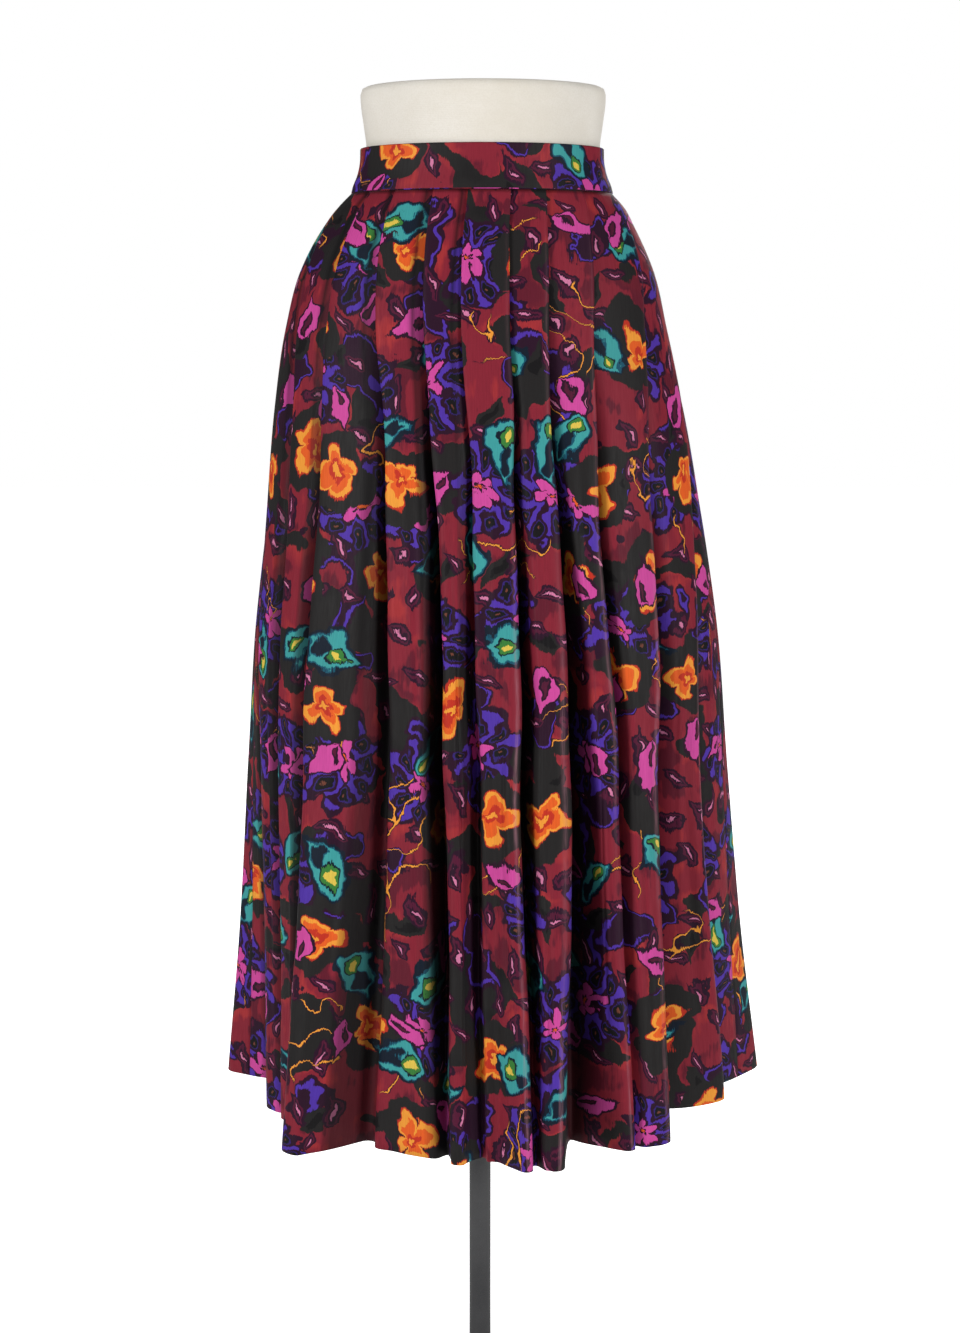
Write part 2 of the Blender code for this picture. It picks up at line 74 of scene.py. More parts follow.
def surface_mesh(name, points, places):
    """Make a mesh of quads from a grid of points, rows down and columns by rising bearing.

    Point (i, j) is joined to its neighbours (i+1, j) and (i, j+1).  places gives each point's
    (u, v) in metres.
    """
    rows, columns = points.shape[:2]
    index = np.arange(rows * columns).reshape(rows, columns)
    corners = together(index[:-1, :-1], index[1:, :-1], index[1:, 1:], index[:-1, 1:]).reshape(-1)
    mesh = bpy.data.meshes.new(name)
    mesh.vertices.add(rows * columns)
    mesh.vertices.foreach_set("co", points.astype(np.float32).ravel())
    mesh.loops.add(len(corners))
    mesh.loops.foreach_set("vertex_index", corners.astype(np.int32))
    mesh.polygons.add(len(corners) // 4)
    mesh.polygons.foreach_set("loop_start", np.arange(0, len(corners), 4, dtype=np.int32))
    mesh.update(calc_edges=True)
    layer = mesh.uv_layers.new(name="cloth_place")
    layer.data.foreach_set("uv", places.reshape(-1, 2)[corners].astype(np.float32).ravel())
    mesh.shade_smooth()
    return mesh


def close_seams(mesh):
    """Join points that lie on each other, such as the two sides of a ring's seam and a pole."""
    work = bmesh.new()
    work.from_mesh(mesh)
    bmesh.ops.remove_doubles(work, verts=work.verts, dist=TOUCHING)
    bmesh.ops.dissolve_degenerate(work, edges=work.edges, dist=TOUCHING)
    work.to_mesh(mesh)
    work.free()


def add_piece(name, mesh, *materials):
    """Put a mesh into the scene as a piece that rides on the part's one body."""
    piece = bpy.data.objects.new(name, mesh)
    bpy.context.scene.collection.objects.link(piece)
    for material in materials:
        mesh.materials.append(material)
    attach(piece, "root")
    return piece


def rounded_profile(corners, steps=5):
    """Round each inner corner of a profile with a quadratic arc of its own radius.

    corners are (radius, height, rounding); the arc starts and ends at the rounding's distance
    from the corner along both edges, with the corner as its middle control point.
    """
    places = np.array([corner[:2] for corner in corners])
    rounding = np.array([corner[2] for corner in corners])
    profile = [places[0]]
    share = np.linspace(0, 1, steps + 1)[:, None]
    for before, here, after, size in zip(places, places[1:], places[2:], rounding[1:]):
        start = here + (before - here) * size / np.linalg.norm(before - here)
        end = here + (after - here) * size / np.linalg.norm(after - here)
        profile.extend((1 - share) ** 2 * start + 2 * share * (1 - share) * here + share**2 * end)
    profile.append(places[-1])
    return np.array(profile)


def turned_mesh(name, profile, base_z, steps=96):
    """Turn a profile of (radius, height) about Z: x = r cos a, y = r sin a, z = height.

    The profile is listed from the top inwards or outwards, then down, so faces look out.
    """
    angles = np.linspace(0, 2 * np.pi, steps + 1)
    radius, height = profile[:, :1], profile[:, 1:]
    points = together(radius * np.cos(angles), radius * np.sin(angles), height + base_z)
    places = together(angles * radius.max(), lengths_along(profile)[:, None])
    mesh = surface_mesh(name, points, places)
    close_seams(mesh)
    return mesh


def feed(tree, socket, value):
    """Link a socket to the given one, or set its value."""
    if isinstance(value, bpy.types.NodeSocket):
        tree.links.new(value, socket)
    else:
        socket.default_value = value


def add_node(tree, kind, inputs=None, **settings):
    """Add a node with its settings; inputs maps socket names or numbers to values or sockets."""
    node = tree.nodes.new(kind)
    for name, value in settings.items():
        setattr(node, name, value)
    for key, value in (inputs or {}).items():
        feed(tree, node.inputs[key], value)
    return node


def ease(tree, value, low, high, out_low=0.0, out_high=1.0):
    """Rise smoothly from out_low to out_high as the value goes from low to high."""
    node = add_node(tree, "ShaderNodeMapRange", {
        "Value": value, "From Min": low, "From Max": high,
        "To Min": out_low, "To Max": out_high}, interpolation_type="SMOOTHSTEP")
    return node.outputs["Result"]


def blend(tree, share, under, over):
    """Lay one colour over another."""
    node = tree.nodes.new("ShaderNodeMix")
    node.data_type = "RGBA"
    feed(tree, node.inputs[0], share)
    feed(tree, node.inputs[6], under)
    feed(tree, node.inputs[7], over)
    return node.outputs[2]


def noise(tree, place, scale, detail=2.0, roughness=0.5, dimensions="3D"):
    """Soft noise; returns its value and its colour."""
    node = add_node(tree, "ShaderNodeTexNoise", {
        "Vector": place, "Scale": scale, "Detail": detail, "Roughness": roughness},
        noise_dimensions=dimensions)
    return node.outputs[0], node.outputs[1]


def new_group(name, inputs, outputs):
    """Start a node group; inputs maps names to values, outputs names to Float, Vector or Color."""
    group = bpy.data.node_groups.new(name, "ShaderNodeTree")
    for label, value in inputs.items():
        kind = "NodeSocketVector" if isinstance(value, tuple) else "NodeSocketFloat"
        group.interface.new_socket(label, in_out="INPUT", socket_type=kind).default_value = value
    for label, kind in outputs.items():
        group.interface.new_socket(label, in_out="OUTPUT", socket_type="NodeSocket" + kind)
    return group, group.nodes.new("NodeGroupInput").outputs, group.nodes.new("NodeGroupOutput").inputs


def use_group(tree, group, inputs=None):
    """Place a node group in a tree and feed it; returns its outputs."""
    return add_node(tree, "ShaderNodeGroup", inputs, node_tree=group).outputs


def new_material(name, **sockets):
    """Start a Principled material; returns it, its tree and its shader."""
    material = bpy.data.materials.new(name)
    material.use_nodes = True
    shader = material.node_tree.nodes["Principled BSDF"]
    for label, value in sockets.items():
        shader.inputs[label.replace("_", " ")].default_value = value
    return material, material.node_tree, shader


def solid_place(tree):
    """Where a point lies in its piece's own space, in metres."""
    return add_node(tree, "ShaderNodeTexCoord").outputs["Object"]


def bump(tree, shader, height, distance, strength=1.0):
    """Raise the surface by height times distance, in metres."""
    node = add_node(tree, "ShaderNodeBump", {
        "Height": height, "Distance": distance, "Strength": strength})
    tree.links.new(node.outputs[0], shader.inputs["Normal"])


def make_grain_group():
    """Grain: fine and coarse noise in one value, and soft stains in another."""
    group, given, result = new_group(
        "fine_grain", {"Place": (0, 0, 0), "Scale": 900.0}, {"Grain": "Float", "Stains": "Float"})
    fine, _ = noise(group, given["Place"], given["Scale"], 3.0, 0.6)
    stains, _ = noise(group, given["Place"], 9.0, 4.0, 0.6)
    group.links.new(fine, result["Grain"])
    group.links.new(stains, result["Stains"])
    return group


def make_stand_paint(grain_group):
    """Dark grey powder coat: pebbled, a little uneven in tone and gloss, with paler specks."""
    material, tree, shader = new_material("stand_paint", Metallic=0.15, Roughness=0.5)
    grain = use_group(tree, grain_group, {"Place": solid_place(tree), "Scale": 1500.0})
    colour = blend(tree, ease(tree, grain["Stains"], 0.3, 0.7), srgb(52, 52, 54), srgb(74, 74, 75))
    specks = ease(tree, grain["Grain"], 0.35, 0.75, 0.0, 0.35)
    speckled = blend(tree, specks, colour, srgb(96, 96, 98))
    tree.links.new(speckled, shader.inputs["Base Color"])
    tree.links.new(ease(tree, grain["Stains"], 0.2, 0.8, 0.42, 0.6), shader.inputs["Roughness"])
    bump(tree, shader, grain["Grain"], 0.00012)
    return material


fine_grain = make_grain_group()
stand_paint = make_stand_paint(fine_grain)

TOUCHING = 1e-6              # points nearer than this are one
BASE_RADIUS, BASE_THICKNESS = 0.1750, 0.0100
POLE_RADIUS = 0.0110
SEAM_GAP = 0.0003
FLANGE_RADIUS, FLANGE_THICKNESS = 0.0450, 0.0060
SOCKET_RADIUS, SOCKET_LENGTH = 0.0180, 0.0350
form_low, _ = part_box("dress_form")
foot_z = BASE_THICKNESS + SEAM_GAP
flange_z = form_low[2] - SEAM_GAP - FLANGE_THICKNESS
bore = POLE_RADIUS + SEAM_GAP

base_profile = rounded_profile([
    (0, BASE_THICKNESS, 0), (BASE_RADIUS, BASE_THICKNESS, 0.0035),
    (BASE_RADIUS, 0, 0.0010), (0, 0, 0)])
foot_profile = rounded_profile([
    (bore, SOCKET_LENGTH - 0.004, 0), (bore, SOCKET_LENGTH, 0.0008),
    (SOCKET_RADIUS, SOCKET_LENGTH, 0.0016), (SOCKET_RADIUS, FLANGE_THICKNESS + 0.003, 0.0040),
    (FLANGE_RADIUS, FLANGE_THICKNESS, 0.0020), (FLANGE_RADIUS, 0, 0.0006), (bore, 0, 0.0004),
    (bore, SOCKET_LENGTH - 0.004, 0)])
flange_profile = rounded_profile([
    (bore, 0.0, 0), (bore, FLANGE_THICKNESS, 0.0004),
    (FLANGE_RADIUS, FLANGE_THICKNESS, 0.0010), (FLANGE_RADIUS, 0, 0.0014),
    (SOCKET_RADIUS, -0.0002, 0.0030), (SOCKET_RADIUS, -SOCKET_LENGTH, 0.0014),
    (bore, -SOCKET_LENGTH, 0.0006), (bore, 0.0, 0)])
pole_top = form_low[2] - SEAM_GAP - foot_z
pole_profile = rounded_profile([
    (0, pole_top, 0), (POLE_RADIUS, pole_top, 0.0004), (POLE_RADIUS, 0, 0.0004), (0, 0, 0)])

for name, profile, height in (
        ("base", base_profile, 0.0), ("foot_socket", foot_profile, foot_z),
        ("form_flange", flange_profile, flange_z), ("pole", pole_profile, foot_z)):
    piece = add_piece(name + "_turned", turned_mesh(name + "_turned", profile, height), stand_paint)
    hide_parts(name)


# ============================================================ dress form
# A hard hip and waist form under a tight cover of cream cotton jersey, sewn at both sides and
# drawn over the flat top.  The sections are those of its solid, read through a smooth curve.
def curve_through(places, values, at):
    """Read a smooth curve through (places, values) at the places in at.

    A cubic Hermite curve: each slope is the weighted mean of the slopes beside it.  values
    may have further columns, and the result then has them too.
    """
    places = np.asarray(places, float)
    values = np.asarray(values, float).reshape(len(places), -1)
    at = np.clip(np.asarray(at, float), places[0], places[-1])
    slopes = np.gradient(values, places, axis=0)
    span = np.clip(np.searchsorted(places, at, side="right") - 1, 0, len(places) - 2)
    width = (places[span + 1] - places[span])[:, None]
    x = (at - places[span])[:, None] / width
    return ((1 + 2 * x) * (1 - x) ** 2 * values[span] + x * x * (3 - 2 * x) * values[span + 1]
            + x * (1 - x) ** 2 * width * slopes[span] + x * x * (x - 1) * width * slopes[span + 1])


def outline_points(bearings, half_width, half_depth, corner=2.0):
    """Place bearings, in radians from the front, on a rounded outline.

    r = ((sin b / half width) ^ corner + (cos b / half depth) ^ corner) ^ (-1 / corner), then
    x = r sin b and y = -r cos b.
    """
    across = np.abs(np.sin(bearings) / half_width) ** corner
    along = np.abs(np.cos(bearings) / half_depth) ** corner
    radius = (across + along) ** (-1.0 / corner)
    return radius * np.sin(bearings), -radius * np.cos(bearings)


WAIST_Z = 1.310              # the waistband's top edge
FORM_SHIFT = 0.0030          # the form's middle, to the side of the pole's
FORM_RADIUS = 0.12           # which turns a bearing into metres of jersey
RIB_WIDTH, LOOP_HEIGHT = 0.0011, 0.0016
FULL_TURN = 2 * math.pi
FORM_SECTIONS = np.array([
    # rise above the waistband's top edge, half width, half depth
    (0.0560, 0.1112, 0.0925), (0.0545, 0.1144, 0.0958), (0.0500, 0.1160, 0.0975),
    (0.0420, 0.1159, 0.0968), (0.0250, 0.1139, 0.0938), (0.0000, 0.1108, 0.08995),
    (-0.0420, 0.1148, 0.0914), (-0.0800, 0.1290, 0.0990), (-0.1250, 0.1440, 0.1070),
    (-0.1750, 0.1560, 0.1130), (-0.2300, 0.1610, 0.1160), (-0.2850, 0.1570, 0.1140),
    (-0.3250, 0.1440, 0.1040), (-0.3450, 0.1270, 0.0890), (-0.3520, 0.1080, 0.0740)])
FORM_STEPS, FORM_RINGS = 144, 90
CAP_SHARES = np.array([0.0, 0.25, 0.5, 0.75, 0.9, 0.97])[:, None]


def form_mesh():
    """A ring for each height, x and y on an ellipse; the two ends shrink to their middle.

    The sections are spaced by the length of the profile, and each end has a flat cap whose
    half axes are the end section's times a share from 0 to 1.
    """
    run = lengths_along(FORM_SECTIONS)
    wall = curve_through(run, FORM_SECTIONS, np.linspace(0, run[-1], FORM_RINGS))
    top, low = (np.concatenate([np.full_like(CAP_SHARES, end[0]), CAP_SHARES * end[1:]], axis=1)
                for end in wall[[0, -1]])
    rings = np.concatenate([top, wall, low[::-1]])
    bearings = np.linspace(-np.pi, np.pi, FORM_STEPS + 1)
    half_width, half_depth = np.maximum(rings[:, 1:, None], 1e-7).transpose(1, 0, 2)
    x, y = outline_points(bearings, half_width, half_depth)
    points = together(x + FORM_SHIFT, y, WAIST_Z + rings[:, :1])
    places = together(bearings * FORM_RADIUS, -lengths_along(rings[:, :2])[:, None])
    mesh = surface_mesh("form_cover", points, places)
    close_seams(mesh)
    return mesh


def sums(tree, operation, a, b=0.0, c=0.0):
    """One step of arithmetic on numbers."""
    return add_node(tree, "ShaderNodeMath", {0: a, 1: b, 2: c}, operation=operation).outputs[0]


def times(tree, a, b):
    """a times b."""
    return sums(tree, "MULTIPLY", a, b)


def minus(tree, a, b):
    """a less b."""
    return sums(tree, "SUBTRACT", a, b)


def wave(tree, value, length):
    """A sine wave of the given length."""
    return sums(tree, "SINE", times(tree, value, FULL_TURN / length))


def split(tree, place):
    """A place's x, y and z."""
    return add_node(tree, "ShaderNodeSeparateXYZ", {0: place}).outputs


def cloth_place(tree):
    """Where a point lies on its piece's own flat cloth, in metres."""
    return add_node(tree, "ShaderNodeUVMap", uv_map="cloth_place").outputs[0]


def make_form_cover(grain_group):
    """Cream jersey: fine upright ribs, a soft nap, faint stains and a sewn line at each side."""
    material, tree, shader = new_material(
        "cream_jersey", Roughness=0.85, Specular_IOR_Level=0.25, Sheen_Weight=0.25,
        Sheen_Roughness=0.5)
    grain = use_group(tree, grain_group, {"Place": solid_place(tree), "Scale": 700.0})
    around, down, _ = split(tree, cloth_place(tree))
    ribs = wave(tree, around, RIB_WIDTH)
    loops = wave(tree, down, LOOP_HEIGHT)
    knit = sums(tree, "MULTIPLY_ADD", ribs, 0.5, times(tree, loops, 0.3))
    side = minus(tree, sums(tree, "ABSOLUTE", around), FORM_RADIUS * math.pi / 2)
    seam = ease(tree, sums(tree, "ABSOLUTE", side), 0.0004, 0.0018, 1.0, 0.0)
    tone = blend(tree, ease(tree, grain["Stains"], 0.3, 0.75), srgb(240, 235, 226), srgb(228, 221, 208))
    flecks = ease(tree, grain["Grain"], 0.3, 0.8, 0.0, 0.35)
    flecked = blend(tree, flecks, tone, srgb(216, 208, 192))
    sewn = blend(tree, times(tree, seam, 0.55), flecked, srgb(176, 166, 148))
    tree.links.new(sewn, shader.inputs["Base Color"])
    height = sums(tree, "MULTIPLY_ADD", seam, -2.0, knit)
    bump(tree, shader, height, 0.00012, 0.7)
    return material


form = add_piece("form_cover", form_mesh(), make_form_cover(fine_grain))
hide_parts("dress_form")


# ============================================================ printed cloth
# A light, soft viscose with a faint satin face, printed all over like a warp-dyed weave: wine
# ground with charcoal pools, violet rosettes, orange blossoms, teal leaves and pink buds,
# every edge drawn out along the threads.  The layout is a scatter of simple ordinary motifs.
WINE, RED, DEEP_WINE = srgb(134, 34, 50), srgb(166, 48, 52), srgb(98, 24, 42)
CHARCOAL, SOOT = srgb(34, 32, 32), srgb(18, 16, 18)
AUBERGINE, PLUM = srgb(42, 12, 36), srgb(84, 20, 50)
VIOLET, DEEP_VIOLET = srgb(80, 50, 164), srgb(52, 34, 112)
PINK, PALE_PINK = srgb(208, 74, 156), srgb(214, 124, 164)
AMBER, ORANGE, VERMILION = srgb(244, 158, 56), srgb(232, 96, 34), srgb(196, 50, 32)
TEAL, DEEP_TEAL, NAVY = srgb(62, 158, 158), srgb(18, 82, 104), srgb(12, 26, 42)
GREEN, YELLOW, UMBER = srgb(58, 126, 56), srgb(226, 196, 80), srgb(112, 62, 48)
PRINT_SIZE = 0.86            # the motifs below are drawn at full size and printed at this share
WASH_EDGE, PATCH_EDGE = 0.004, 0.02    # over how much noise a wash or a patch of curls begins


def stepped(tree, value, stops, soft=False):
    """Choose a colour by value from (place, colour) stops, stepped or running together."""
    node = add_node(tree, "ShaderNodeValToRGB", {0: value})
    ramp = node.color_ramp
    ramp.interpolation = "LINEAR" if soft else "CONSTANT"
    while len(ramp.elements) < len(stops):
        ramp.elements.new(1.0)
    for element, (place, colour) in zip(ramp.elements, stops):
        element.position = place
        element.color = colour
    return node.outputs[0]


def on_places(tree, operation, a, b=(0, 0, 0)):
    """One step of arithmetic on places."""
    return add_node(tree, "ShaderNodeVectorMath", {0: a, 1: b}, operation=operation).outputs[0]


def make_feather_group():
    """Move a place as worn print screens and loose threads do.

    Broad noise bends the motifs, finer noise frays their edges, and a noise that is narrow
    across the cloth and long down it pulls single threads up or down.
    """
    group, given, result = new_group("thread_feather", {"Place": (0, 0, 0)}, {"Place": "Vector"})
    moved = given["Place"]
    for scale, reach in ((15.0, 0.034), (46.0, 0.0170), (170.0, 0.0030)):
        _, drift = noise(group, given["Place"], scale, 1.0, 0.5, "2D")
        centred = on_places(group, "SUBTRACT", drift, (0.5, 0.5, 0.5))
        scaled = on_places(group, "MULTIPLY", centred, (reach, reach, 0))
        moved = on_places(group, "ADD", moved, scaled)
    narrow = on_places(group, "MULTIPLY", given["Place"], (1.0, 0.06, 0))
    pull, _ = noise(group, narrow, 760.0, 1.0, 0.7, "2D")
    pulled = times(group, minus(group, pull, 0.5), 0.0042)
    upright = add_node(group, "ShaderNodeCombineXYZ", {1: pulled}).outputs[0]
    group.links.new(on_places(group, "ADD", moved, upright), result["Place"])
    return group


def make_scatter_group():
    """Give each place its own motif's coordinates, turned.

    The cloth is cut into square cells, every second row set over by half a cell.  A motif
    sits in each at a random place that keeps its reach inside the cell.  Here is 1 where the
    cell has a motif and 0 where it is left empty.
    """
    group, given, result = new_group("scatter_motif", {
        "Place": (0, 0, 0), "Cell": 0.1, "Reach": 0.03, "Seed": 1.0, "Kept": 0.8, "Turn": FULL_TURN,
    }, {"Across": "Float", "Along": "Float", "Radius": "Float", "Angle": "Float", "Here": "Float"})
    across, along, _ = split(group, given["Place"])
    down = sums(group, "ADD", sums(group, "DIVIDE", along, given["Cell"]), given["Seed"])
    row = sums(group, "FLOOR", down)
    set_over = times(group, sums(group, "MODULO", row, 2.0), 0.5)
    over = sums(group, "ADD", sums(group, "DIVIDE", across, given["Cell"]), set_over)
    column = sums(group, "FLOOR", over)
    cell = add_node(group, "ShaderNodeCombineXYZ", {0: column, 1: row, 2: given["Seed"]}).outputs[0]
    dice = add_node(group, "ShaderNodeTexWhiteNoise", {"Vector": cell}, noise_dimensions="3D").outputs
    thrown = add_node(group, "ShaderNodeSeparateColor", {0: dice["Color"]}).outputs
    reach = sums(group, "DIVIDE", times(group, given["Reach"], 2.0), given["Cell"])
    room = minus(group, 1.0, reach)
    local = []
    for fraction, random in ((over, thrown[0]), (down, thrown[1])):
        middle = sums(group, "MULTIPLY_ADD", minus(group, random, 0.5), room, 0.5)
        offset = minus(group, sums(group, "FRACT", fraction), middle)
        local.append(times(group, offset, given["Cell"]))
    flat = add_node(group, "ShaderNodeCombineXYZ", {0: local[0], 1: local[1]}).outputs[0]
    turned = add_node(group, "ShaderNodeVectorRotate", {
        "Vector": flat, "Angle": times(group, thrown[2], given["Turn"])},
        rotation_type="Z_AXIS").outputs[0]
    own_x, own_y, _ = split(group, turned)
    radius = add_node(group, "ShaderNodeVectorMath", {0: turned}, operation="LENGTH").outputs["Value"]
    for label, value in (
            ("Across", own_x), ("Along", own_y), ("Radius", radius),
            ("Angle", sums(group, "ARCTAN2", own_y, own_x)),
            ("Here", sums(group, "LESS_THAN", dice["Value"], given["Kept"]))):
        group.links.new(value, result[label])
    return group


def moved_spot(tree, spot, middle):
    """The same motif's coordinates from another middle, for a leaf inside it."""
    return {"Across": minus(tree, spot["Across"], middle[0]),
            "Along": minus(tree, spot["Along"], middle[1]), "Here": spot["Here"]}


def petal_depth(tree, spot, size, petals, waist, swing):
    """How deep a place lies in a flower, 1 at its middle and 0 on its edge.

    The edge is at size (waist + (1 - waist) |cos(petals angle / 2)|) (1 + swing cos(angle)).
    """
    lobes = sums(tree, "ABSOLUTE", sums(tree, "COSINE", times(tree, spot["Angle"], petals / 2)))
    edge = times(tree, sums(tree, "MULTIPLY_ADD", lobes, 1 - waist, waist), size)
    uneven = sums(tree, "MULTIPLY_ADD", sums(tree, "COSINE", spot["Angle"]), swing, 1.0)
    return minus(tree, 1.0, sums(tree, "DIVIDE", spot["Radius"], times(tree, edge, uneven)))


def eyes_depth(tree, spot, count, ring, length, width):
    """How deep a place lies in one of count oval eyes that stand in a ring round the middle.

    It is 1 - sqrt(((radius - ring) / length)^2 + (sector / width)^2), with sector from -0.5 to
    0.5 across the part of the ring that holds one eye.
    """
    sector = minus(tree, sums(tree, "FRACT", times(tree, spot["Angle"], count / FULL_TURN)), 0.5)
    outward = sums(tree, "DIVIDE", minus(tree, spot["Radius"], ring), length)
    sideways = sums(tree, "DIVIDE", sector, width)
    square = sums(tree, "MULTIPLY_ADD", outward, outward, times(tree, sideways, sideways))
    return minus(tree, 1.0, sums(tree, "SQRT", square))


def leaf_depth(tree, spot, length, width, lean):
    """How deep a place lies in a leaf: (half width here - distance from the rib) / width.

    The half width is width (1 - t^2) (1 + lean t), with t from -1 to 1 along the rib.
    """
    t = sums(tree, "DIVIDE", spot["Across"], length)
    belly = minus(tree, 1.0, times(tree, t, t))
    lopsided = sums(tree, "MAXIMUM", sums(tree, "MULTIPLY_ADD", t, lean, 1.0), 0.2)
    off_rib = sums(tree, "DIVIDE", sums(tree, "ABSOLUTE", spot["Along"]), width)
    return minus(tree, times(tree, belly, lopsided), off_rib)


# The print's layers from the bottom up.  Each has its cell, reach, seed, the share of cells kept
# and the turn that its motifs are given; then its shapes, each a depth with its sizes, its own
# middle if it has one, how far its rim reaches outside and its colours by depth.
LOW_MOTIFS = (
    ((0.074, 0.026, 41.0, 0.46, FULL_TURN), (              # paddles of ink
        (leaf_depth, (0.0250, 0.0098, 0.75), None, 0.0, ((0.0, CHARCOAL), (0.6, SOOT))),)),
    ((0.042, 0.0165, 11.0, 0.78, 1.9), (                   # seeds
        (leaf_depth, (0.0175, 0.0076, 0.2), None, 0.20, (
            (-0.2, AUBERGINE), (0.20, PLUM), (0.52, AUBERGINE), (0.80, PALE_PINK))),)),
    ((0.138, 0.050, 3.0, 0.64, FULL_TURN), (               # violet rosettes with a pink flower
        (petal_depth, (0.052, 9, 0.74, 0.12), None, 0.0, (
            (0.0, AUBERGINE), (0.09, VIOLET), (0.66, AUBERGINE))),
        (eyes_depth, (9, 0.0340, 0.0150, 0.40), None, 0.0, (
            (0.0, AUBERGINE), (0.36, DEEP_VIOLET), (0.48, SOOT), (0.86, UMBER))),
        (petal_depth, (0.0200, 5, 0.30, 0.18), None, 0.22, (
            (-0.22, AUBERGINE), (0.0, PINK), (0.72, AUBERGINE), (0.86, ORANGE))))))
HIGH_MOTIFS = (
    ((0.122, 0.042, 7.0, 0.38, FULL_TURN), (               # orange blossoms on charcoal
        (petal_depth, (0.047, 3, 0.70, 0.20), None, 0.0, ((0.0, CHARCOAL),)),
        (petal_depth, (0.0265, 4, 0.50, 0.35), None, 0.05, (
            (-0.05, VERMILION), (0.02, AMBER), (0.26, ORANGE), (0.58, VERMILION), (0.80, AMBER))))),
    ((0.112, 0.038, 17.0, 0.34, FULL_TURN), (              # teal leaves, each with a green heart
        (leaf_depth, (0.0330, 0.0175, 0.50), None, 0.22, (
            (-0.22, NAVY), (0.0, DEEP_TEAL), (0.10, TEAL))),
        (leaf_depth, (0.0150, 0.0068, -0.5), (-0.0085, 0.0), 0.2, ((-0.2, DEEP_TEAL), (0.0, NAVY))),
        (leaf_depth, (0.0105, 0.0068, 0.2), (0.0135, 0.0), 0.5, (
            (-0.5, NAVY), (-0.2, GREEN), (0.45, YELLOW))))),
    ((0.096, 0.030, 29.0, 0.34, FULL_TURN), (              # pink buds
        (leaf_depth, (0.0250, 0.0150, -0.80), None, 0.0, ((0.0, AUBERGINE), (0.22, PINK))),
        (leaf_depth, (0.0110, 0.0046, 0.3), (-0.0105, 0.0025), 0.0, (
            (0.0, AUBERGINE), (0.55, PLUM))))))
RIM_EASE = (-0.03, 0.01)     # a motif's edge fades in between these depths from its rim
RAMP_ZERO = 0.2              # where a colour ramp holds depth 0, so that rims fit on it too


def lay_motifs(tree, colours, scatter_group, place, layers):
    """Lay each layer's shapes over the colours, where their depth is more than minus the rim.

    The rim takes the shape's first colour.
    """
    for layer, shapes in layers:
        given = dict(zip(("Cell", "Reach", "Seed", "Kept", "Turn"), layer), Place=place)
        scattered = use_group(tree, scatter_group, given)
        for measure, sizes, middle, rim, stops in shapes:
            spot = moved_spot(tree, scattered, middle) if middle else scattered
            depth = measure(tree, spot, *sizes)
            low, high = (part - rim for part in RIM_EASE)
            shown = times(tree, ease(tree, depth, low, high), spot["Here"])
            at = sums(tree, "MULTIPLY_ADD", depth, 1 - RAMP_ZERO, RAMP_ZERO)
            ramp = [(max(0.0, RAMP_ZERO + (1 - RAMP_ZERO) * stop), colour) for stop, colour in stops]
            colours = blend(tree, shown, colours, stepped(tree, at, ramp))
    return colours


def make_print_group(feather_group, scatter_group):
    """The whole print: place on the cloth in, colour out.

    A streaky wine ground, ink pools with a red rim, violet washes, the low motifs, thin curling
    lines and the high motifs lie over each other in that order.
    """
    group, given, result = new_group("scattered_print", {"Place": (0, 0, 0)}, {"Colour": "Color"})
    drawn = add_node(group, "ShaderNodeVectorMath", {0: given["Place"], "Scale": 1 / PRINT_SIZE},
                     operation="SCALE").outputs[0]
    place = use_group(group, feather_group, {"Place": drawn})[0]
    streaks = on_places(group, "MULTIPLY", given["Place"], (1.0, 0.16, 0))
    streak, _ = noise(group, streaks, 150.0, 2.0, 0.6, "2D")
    clouds, _ = noise(group, place, 21.0, 1.0, 0.5, "2D")
    warm = sums(group, "MULTIPLY_ADD", streak, 0.30, times(group, clouds, 0.80))
    colours = stepped(group, warm, [
        (0.0, DEEP_WINE), (0.43, DEEP_WINE), (0.48, WINE), (0.68, WINE), (0.80, RED), (1.0, RED),
    ], soft=True)

    pools, _ = noise(group, place, 11.0, 0.9, 0.5, "2D")
    edge = sums(group, "MULTIPLY_ADD", streak, 0.02, pools)
    bled = ease(group, clouds, 0.45, 0.60, 0.1, 0.75)
    near_pool = times(group, ease(group, edge, 0.552, 0.590), bled)
    colours = blend(group, near_pool, colours, RED)
    ink = stepped(group, clouds, [(0.0, SOOT), (0.42, CHARCOAL), (1.0, CHARCOAL)], soft=True)
    colours = blend(group, ease(group, edge, 0.594, 0.599), colours, ink)

    washes, _ = noise(group, on_places(group, "ADD", place, (3.7, 1.9, 0)), 15.0, 0.8, 0.5, "2D")
    for level, colour in ((0.612, AUBERGINE), (0.640, VIOLET), (0.664, AUBERGINE)):
        colours = blend(group, ease(group, washes, level, level + WASH_EDGE), colours, colour)

    colours = lay_motifs(group, colours, scatter_group, place, LOW_MOTIFS)

    curls, _ = noise(group, place, 26.0, 0.4, 0.5, "2D")
    ridge = sums(group, "ABSOLUTE", minus(group, curls, 0.5))
    patches, _ = noise(group, place, 9.0, 0.0, 0.5, "2D")
    for inner, outer, level, colour in (
            (0.024, 0.028, 0.70, AUBERGINE), (0.010, 0.013, 0.71, AMBER)):
        line = ease(group, ridge, inner, outer, 1.0, 0.0)
        here = ease(group, patches, level, level + PATCH_EDGE)
        colours = blend(group, times(group, line, here), colours, colour)

    colours = lay_motifs(group, colours, scatter_group, place, HIGH_MOTIFS)
    group.links.new(colours, result["Colour"])
    return group


